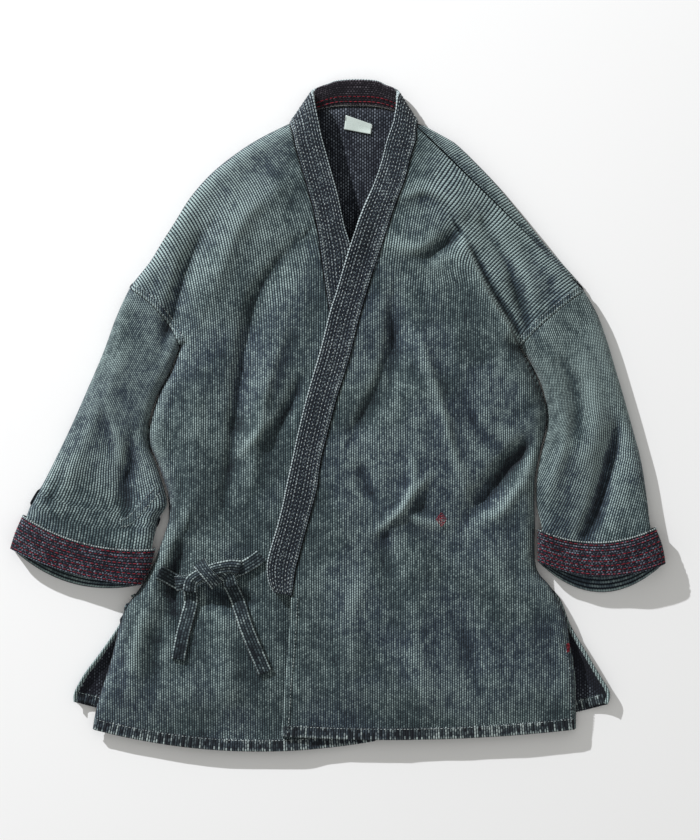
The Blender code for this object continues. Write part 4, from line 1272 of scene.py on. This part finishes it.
def sew(name, carrier, lines, finish, step=4.4, size=(3.0, 0.95, 0.8), seed=3):
    """Rows of stitches along lines of points that lie on the cloth, as one mesh."""
    dice = np.random.default_rng(seed)
    frames = []
    for line in lines:
        line = np.asarray(line, float)
        length = run_length(line)
        for place in np.arange(step * dice.uniform(0.3, 0.9), length[-1] - 0.4 * step, step):
            here, ahead = (
                Vector([np.interp(place + more, length, line[:, k]) for k in range(3)])
                for more in (0, 1.0)
            )
            turn = (ahead - here).to_track_quat("X", "Z").to_matrix().to_4x4()
            scale = dice.uniform(0.8, 1.15)
            stretch = Matrix.Diagonal((size[0] * scale * MM, size[1] * MM, size[2] * MM, 1))
            frames.append(Matrix.Translation(here * MM) @ turn @ stretch)
    mesh = bmesh.new()
    data = bpy.data.meshes.new(name)
    for first in range(0, len(frames), BATCH):
        batch = bmesh.new()
        for matrix in frames[first : first + BATCH]:
            bmesh.ops.create_uvsphere(batch, u_segments=6, v_segments=4, radius=0.5, matrix=matrix)
        batch.to_mesh(data)
        batch.free()
        mesh.from_mesh(data)
    mesh.to_mesh(data)
    mesh.free()
    data.shade_smooth()
    data.materials.append(FINISH[finish])
    made = bpy.data.objects.new(name, data)
    scene.collection.objects.link(made)
    PIECES[name] = made
    EXTRAS.setdefault(carrier, []).append(name)
    print(f"{name}: {len(data.polygons)} faces")
    return made


def front_line(front, start, share, count):
    """Plan of the edge of a front at a share of its rows, from the row at start to the hem."""
    times = np.linspace(start, len(front["edge"]) - 1, count)
    return np.array([front_row(front, t, [share])[0] for t in times])


def front_hem(front, count=150):
    """Plan of the hem of a front."""
    return front_row(front, len(front["edge"]) - 1, np.linspace(0.004, 0.996, count))


HEM_WIDTH = 15
FACING_WIDTH = 9
SEAM_WIDTH = 8
right_hem = front_hem(RIGHT_FRONT)
left_hem = front_hem(LEFT_FRONT)[::-1]
left_edge = front_line(LEFT_FRONT, 12.25, 1.0, 90)
left_slit = front_line(LEFT_FRONT, 14.15, 0.0, 60)[::-1]
FACED = {"lift": 0.6, "wear": 0.3, "crossed": False}
FELLED = {"lift": 0.7, "drop": 1.2, "bars": 0.03, "wear": 0.36, "crossed": False}
edge_strip("right_hem", "right_front", right_hem, HEM_WIDTH, right_layer)
edge_strip("left_hem", "left_front", left_hem, HEM_WIDTH, left_layer)
edge_strip("left_facing", "left_front", left_edge, FACING_WIDTH, left_layer, bars=0.06, **FACED)
edge_strip("left_slit_edge", "left_front", left_slit, SEAM_WIDTH, left_layer, bars=0.1, **FACED)


def armhole_path(seam, first, last=0.97, count=44):
    """Plan of an armhole seam between two shares of it."""
    return bowed(seam["top"], seam["underarm"], np.linspace(first, last, count), seam["bow"])


ARMHOLES = (
    ("right", right_layer, armhole_path(RIGHT_ARMHOLE, 0.06)),
    ("left", left_layer, armhole_path(LEFT_ARMHOLE, 0.03)[::-1]),
)
for side, height, path in ARMHOLES:
    edge_strip(f"{side}_armhole_fell", f"{side}_front", beside(path, 0.8), SEAM_WIDTH, height,
               **FELLED)
sleeve_height = cast_height(["right_sleeve"])
underarm_seam = smooth_line([(-258, -134), (-244, -129), (-224, -107), (-209, -91)], 8)
edge_strip("right_underarm_fell", "right_sleeve", underarm_seam, 12, sleeve_height, drop=0,
           bars=0.03, **FACED)

# %% [markdown]
# ## The back hem
# Both front corners stand apart from the back at the hips, so the ends of the back's hem and
# the sides above them show. They are turned up as the fronts are.

# %% Back hem at the hips
back_height = cast_height(["back_panel"])
BACK_HEM_LENGTH = 640
BACK_SLIT = {"drop": 1.6, "bars": 0.05, "wear": 0.9, "crossed": False}


def back_hem(side, reach=56, count=40):
    """The visible end of the back's hem, from the side line inwards."""
    left, right = np.array(BACK_HEM["left"], float), np.array(BACK_HEM["right"], float)
    shares = np.linspace(0.004, reach / BACK_HEM_LENGTH, count)
    if side > 0:
        shares = 1 - shares[::-1]
    return bowed(left, right, shares, -BACK_HEM["bow"])


def back_side(side, count=50):
    """The open side of the back, from the top of its slit down to the hem."""
    rows = [(RIGHT_SIDE[8] if side < 0 else LEFT_SIDE[9])]
    rows += [(left if side < 0 else right, y) for left, right, y in BACK_HIP_ROWS]
    rows.append(BACK_HEM["left" if side < 0 else "right"])
    line = smooth_line(rows, 10)
    return line[np.linspace(8, len(line) - 1, count).astype(int)]


edge_strip("back_hem_right", "back_panel", back_hem(-1), HEM_WIDTH, back_height, drop=1.6)
edge_strip("back_hem_left", "back_panel", back_hem(1), HEM_WIDTH, back_height, drop=1.6)
edge_strip("back_slit_right", "back_panel", beside(back_side(-1), 1.0), 4, back_height, **BACK_SLIT)
edge_strip("back_slit_left", "back_panel", beside(back_side(1)[::-1], 1.0), 4, back_height,
           **BACK_SLIT)
print("strips:", sum(len(names) for names in EXTRAS.values()))

# %% [markdown]
# ## Stitches
# Thread is laid on as small flattened beads, one for each stitch: pale along the hems, the
# felled seams and in long rows down the band, dark along the shoulder seam, and red on the
# cuffs, where it shows as the inside of the cloth is turned out.

# %% Rows of stitches
def line_at(lines, share):
    """A line at a share of the way from the first of the lines to the last."""
    place = share * (len(lines) - 1)
    low = min(int(place), len(lines) - 2)
    return lines[low] * (1 - place + low) + lines[low + 1] * (place - low)


def raised(name, lift):
    """The grid of a patch, moved off its surface."""
    grid = GRIDS[name]
    down, run = np.gradient(grid, axis=(0, 1))
    normal = np.cross(run, down)
    return grid + normal / np.linalg.norm(normal, axis=2)[..., None] * lift


def grid_line(name, share, lift, start=0.0, end=1.0):
    """A line down the rows of a patch, at a share of its width, just above its surface."""
    line = line_at(raised(name, lift).swapaxes(0, 1), share)
    return line[int(start * (len(line) - 1)) : int(end * (len(line) - 1)) + 1]


def ring_line(name, share, lift):
    """A line round a cuff at a share of its depth, from its worn top edge to the mouth."""
    grid = raised(name, lift)
    if GRIDS[name][0, :, 1].mean() < GRIDS[name][-1, :, 1].mean():
        share = 1 - share
    return line_at(grid, share)


for name, carrier, path, height, inset in (
    ("right_hem_stitches", "right_front", right_hem, right_layer, HEM_WIDTH - 2.6),
    ("left_hem_stitches", "left_front", left_hem, left_layer, HEM_WIDTH - 2.6),
    ("left_facing_stitches", "left_front", left_edge, left_layer, FACING_WIDTH - 2),
    ("left_slit_stitches", "left_front", left_slit, left_layer, SEAM_WIDTH - 2),
    ("back_hem_stitches_right", "back_panel", back_hem(-1), back_height, HEM_WIDTH - 2.6),
    ("back_hem_stitches_left", "back_panel", back_hem(1), back_height, HEM_WIDTH - 2.6),
):
    rows = [on_surface(beside(path, inset), height, 1.0)]
    sew(name, carrier, rows, "pale_thread", 4.0, (2.8, 0.8, 0.7))
for side, height, path in ARMHOLES:
    rows = [on_surface(beside(path, inset), height, 0.95) for inset in (2.4, 7.4)]
    sew(f"{side}_armhole_stitches", f"{side}_front", rows, "pale_thread", 3.6, (2.6, 0.9, 0.7))
seam_rows = [on_surface(beside(underarm_seam, inset), sleeve_height, 0.95) for inset in (1.8, 10.2)]
sew("right_underarm_stitches", "right_sleeve", seam_rows, "pale_thread", 3.8, (2.6, 0.8, 0.7))
seam_y = np.linspace(332, 158, 60)
shoulder_seam = np.column_stack([shoulder_seam_x(seam_y) + 2.6, seam_y])
shoulder_rows = [on_surface(beside(shoulder_seam, 1.6), back_height, 0.3)]
sew("shoulder_stitches", "back_panel", shoulder_rows, "dark_thread", 3.6, (2.6, 0.9, 0.7))
band_shares = (0.1, 0.21, 0.33, 0.45, 0.57, 0.69, 0.8, 0.9)
band_rows = [grid_line("collar_band", share, 0.25) for share in band_shares]
sew("band_stitches", "collar_band", band_rows[1:], "pale_thread", 5.2, (2.5, 0.85, 0.65), 5)
sew("band_seam_stitches", "collar_band", band_rows[:1], "pale_thread", 3.4, (2.9, 1.0, 0.8), 6)
neck_rows = [grid_line("collar_band", share, -BAND_THICK - 0.3, 0.365, 0.5)
             for share in (0.14, 0.34)]
sew("neck_red_stitches", "collar_band", neck_rows, "red_thread", 5.6, (5.2, 0.8, 0.8), 7)

for side in ("right", "left"):
    cuff = side + "_cuff"
    rows = [ring_line(cuff, share, 0.3) for share in (0.12, 0.25, 0.38, 0.51, 0.64, 0.77, 0.9)]
    sew(f"{side}_cuff_red_stitches", cuff, rows, "red_thread", 6.2, (5.4, 0.75, 0.7), 8)
    rows = [ring_line(cuff, share, 0.2) for share in (0.185, 0.315, 0.445, 0.575, 0.705, 0.835)]
    sew(f"{side}_cuff_pale_stitches", cuff, rows, "grey_thread", 4.8, (1.7, 0.8, 0.5), 9)
    rolled_edge = np.array([ring_line(cuff, share, lift) for share, lift in
                            ((0.0, 0.1), (0.008, 0.75), (0.03, 0.9), (0.05, 0.8), (0.062, 0.1))])
    patch(f"{side}_cuff_edge", rolled_edge, tube_grain(rolled_edge), "hem_indigo", "hem_indigo",
          wall=0.6, wear=0.85, crest_wear_and_shading=0.0)
    EXTRAS[cuff].append(f"{side}_cuff_edge")

# %% [markdown]
# ## The knot
# The knot is three turns of the same tape: one tie under, one over, and a wrap that holds
# them. Each turn has a height above the front at every point, and is bunched where it is
# pulled tight.

# %% Knot
KNOT_TURNS = {
    "knot_under": [
        (-193, -200, 3.0), (-181, -198, 4.6), (-168, -193.5, 6.0), (-155, -188, 7.0),
        (-142, -185, 6.4), (-131, -190, 5.4), (-127, -203, 4.2),
    ],
    "knot_over": [
        (-116, -180, 3.6), (-127, -178.5, 6.0), (-139, -180, 9.0), (-152, -183.5, 11.0),
        (-166, -190, 10.4), (-174, -197, 7.4), (-176, -209, 4.4),
    ],
    "tie_knot": [
        (-165, -174.5, 5.0), (-163, -177, 9.0), (-160, -181, 12.6), (-154, -188, 14.6),
        (-148, -195, 12.4), (-145, -199, 9.0), (-143, -201.5, 5.0),
    ],
}


def knot_turn(name, route, width, columns=11):
    """A tape along a route with its own heights above the front, bunched a little across."""
    route = smooth_line(route, 8)
    base = height_under(front_surface, *route[len(route) // 2][:2])
    shares = np.linspace(-0.5, 0.5, columns)
    ripple = 0.55 * np.cos(3 * math.pi * shares + 0.6) - 5.0 * shares**2
    grid = []
    for k, (point, across_tie) in enumerate(zip(route, left_of(route))):
        pinch = width * (1 - 0.18 * math.sin(math.pi * k / (len(route) - 1)))
        plan = point[:2] + across_tie * pinch * shares[:, None]
        grid.append(np.column_stack([plan, base + point[2] + 1.2 + ripple]))
    return tape_patch(name, grid, route, shares, width, 0.16, 0.05)


for name, route in KNOT_TURNS.items():
    knot_turn(name, route, TIE_WIDTH * 1.05)

# %% [markdown]
# ## Label, bar tack and motif
# A plain pale tab is tacked on below the back neck. A red bar tack closes the top of the side
# slit, and a small diamond in red running stitch sits low on the left front, as sashiko often
# has.

# %% Label, bar tack and motif
corner_a, corner_b, corner_c, corner_d = (np.array(corner, float) for corner in LABEL)
down, along_label = np.meshgrid(np.linspace(0, 1, 16), np.linspace(0, 1, 24), indexing="ij")
down, along_label = down[..., None], along_label[..., None]
left_end = corner_a + (corner_d - corner_a) * down
right_end = corner_b + (corner_c - corner_b) * down
tab = left_end + (right_end - left_end) * along_label
curl = 1.6 * smoothstep(0.55, 0.0, down[..., 0]) * smoothstep(0.35, 1.0, along_label[..., 0])
tab_height = CLOTH + 1.1 + curl + 0.35 * np.sin(4.2 * along_label[..., 0] + 1.0)
tab_grid = np.concatenate([tab, tab_height[..., None]], axis=2)
patch("neck_label", tab_grid, tab, "label_cloth", "label_cloth", wall=0.5, wear=0.5, crest_wear_and_shading=0.3)
tacks = []
for corner, other in ((corner_d, corner_a), (corner_c, corner_b)):
    start = corner + (other - corner) * 0.1
    tacks.append([(*start, CLOTH + 1.7), (*(corner + (other - corner) * 0.4), CLOTH + 1.9)])
sew("label_tacks", "back_panel", tacks, "white_thread", 1.2, (1.6, 0.7, 0.6))

tack_x, tack_y = left_slit[-1] - (3.0, 0.0)
zigzag = [(tack_x - 1.6 + 3.2 * (k % 2), tack_y - 5 + k * 0.9) for k in range(12)]
tack_rows = [on_surface(np.array(zigzag), left_layer, 1.6)]
sew("slit_bar_tack", "left_front", tack_rows, "red_thread", 1.6, (3.0, 1.0, 0.9))

MOTIF_CENTRE = (124.0, -123.0)
motif_rows = []
for half_width, half_height in ((6.0, 8.0), (3.6, 4.8), (1.4, 1.9)):
    corners = [(half_width, 0), (0, half_height), (-half_width, 0), (0, -half_height)]
    ring_points = np.array([*corners, corners[0]]) + MOTIF_CENTRE
    steps = np.linspace(0, 4, 33)
    ring_points = np.column_stack([np.interp(steps, range(5), ring_points[:, k]) for k in (0, 1)])
    motif_rows.append(on_surface(ring_points, left_layer, 0.35))
sew("diamond_motif", "left_front", motif_rows, "red_thread", 2.1, (1.9, 1.1, 0.9))

# %% [markdown]
# ## Attaching the pieces
# Each panel stands for its imported solid, which is hidden, and rides on the body together
# with the strips and stitches fitted to it.

CUTS = {
    "back_panel": ((0.62, 0.78), ["floor"], 0.36),
    "right_front": ((0.36, 0.78), ["back_panel"], 0.185),
    "left_front": ((0.36, 0.78), ["back_panel", "right_front"], 0.185),
    "collar_band": ((0.038, 1.4), ["right_front", "left_front"], 0.047),
    "right_sleeve": ((0.3, 0.36), ["floor"], 0.08),
    "left_sleeve": ((0.3, 0.36), ["floor"], 0.077),
    "right_cuff": ((0.33, 0.048), ["right_sleeve"], 0.0158),
    "left_cuff": ((0.33, 0.048), ["left_sleeve"], 0.0158),
    "side_tie": ((TIE_WIDTH * MM, 0.03), ["right_front"], None),
    "front_tie": ((TIE_WIDTH * MM, 0.04), ["right_front"], None),
    "side_tie_tail": ((TIE_WIDTH * MM, 0.085), ["right_front"], None),
    "front_tie_tail": ((TIE_WIDTH * MM, 0.115), ["right_front"], None),
    "tie_knot": ((TIE_WIDTH * MM, 0.055), ["right_front"], None),
    "neck_label": ((0.033, 0.012), ["back_panel"], None),
}
EXTRAS["tie_knot"] = ["knot_under", "knot_over"]
for name, (size, carriers, area) in CUTS.items():
    piece = PIECES[name]
    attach(piece, "root")
    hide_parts(name)
    fitted = [PIECES[extra] for extra in EXTRAS.get(name, [])]
    for extra in fitted:
        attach(extra, "root")
    carriers = [PIECES.get(carrier, floor).name for carrier in carriers]
fitted_count = sum(len(names) for names in EXTRAS.values())
print("declared:", len(CUTS), "sheets with", fitted_count, "pieces on them")
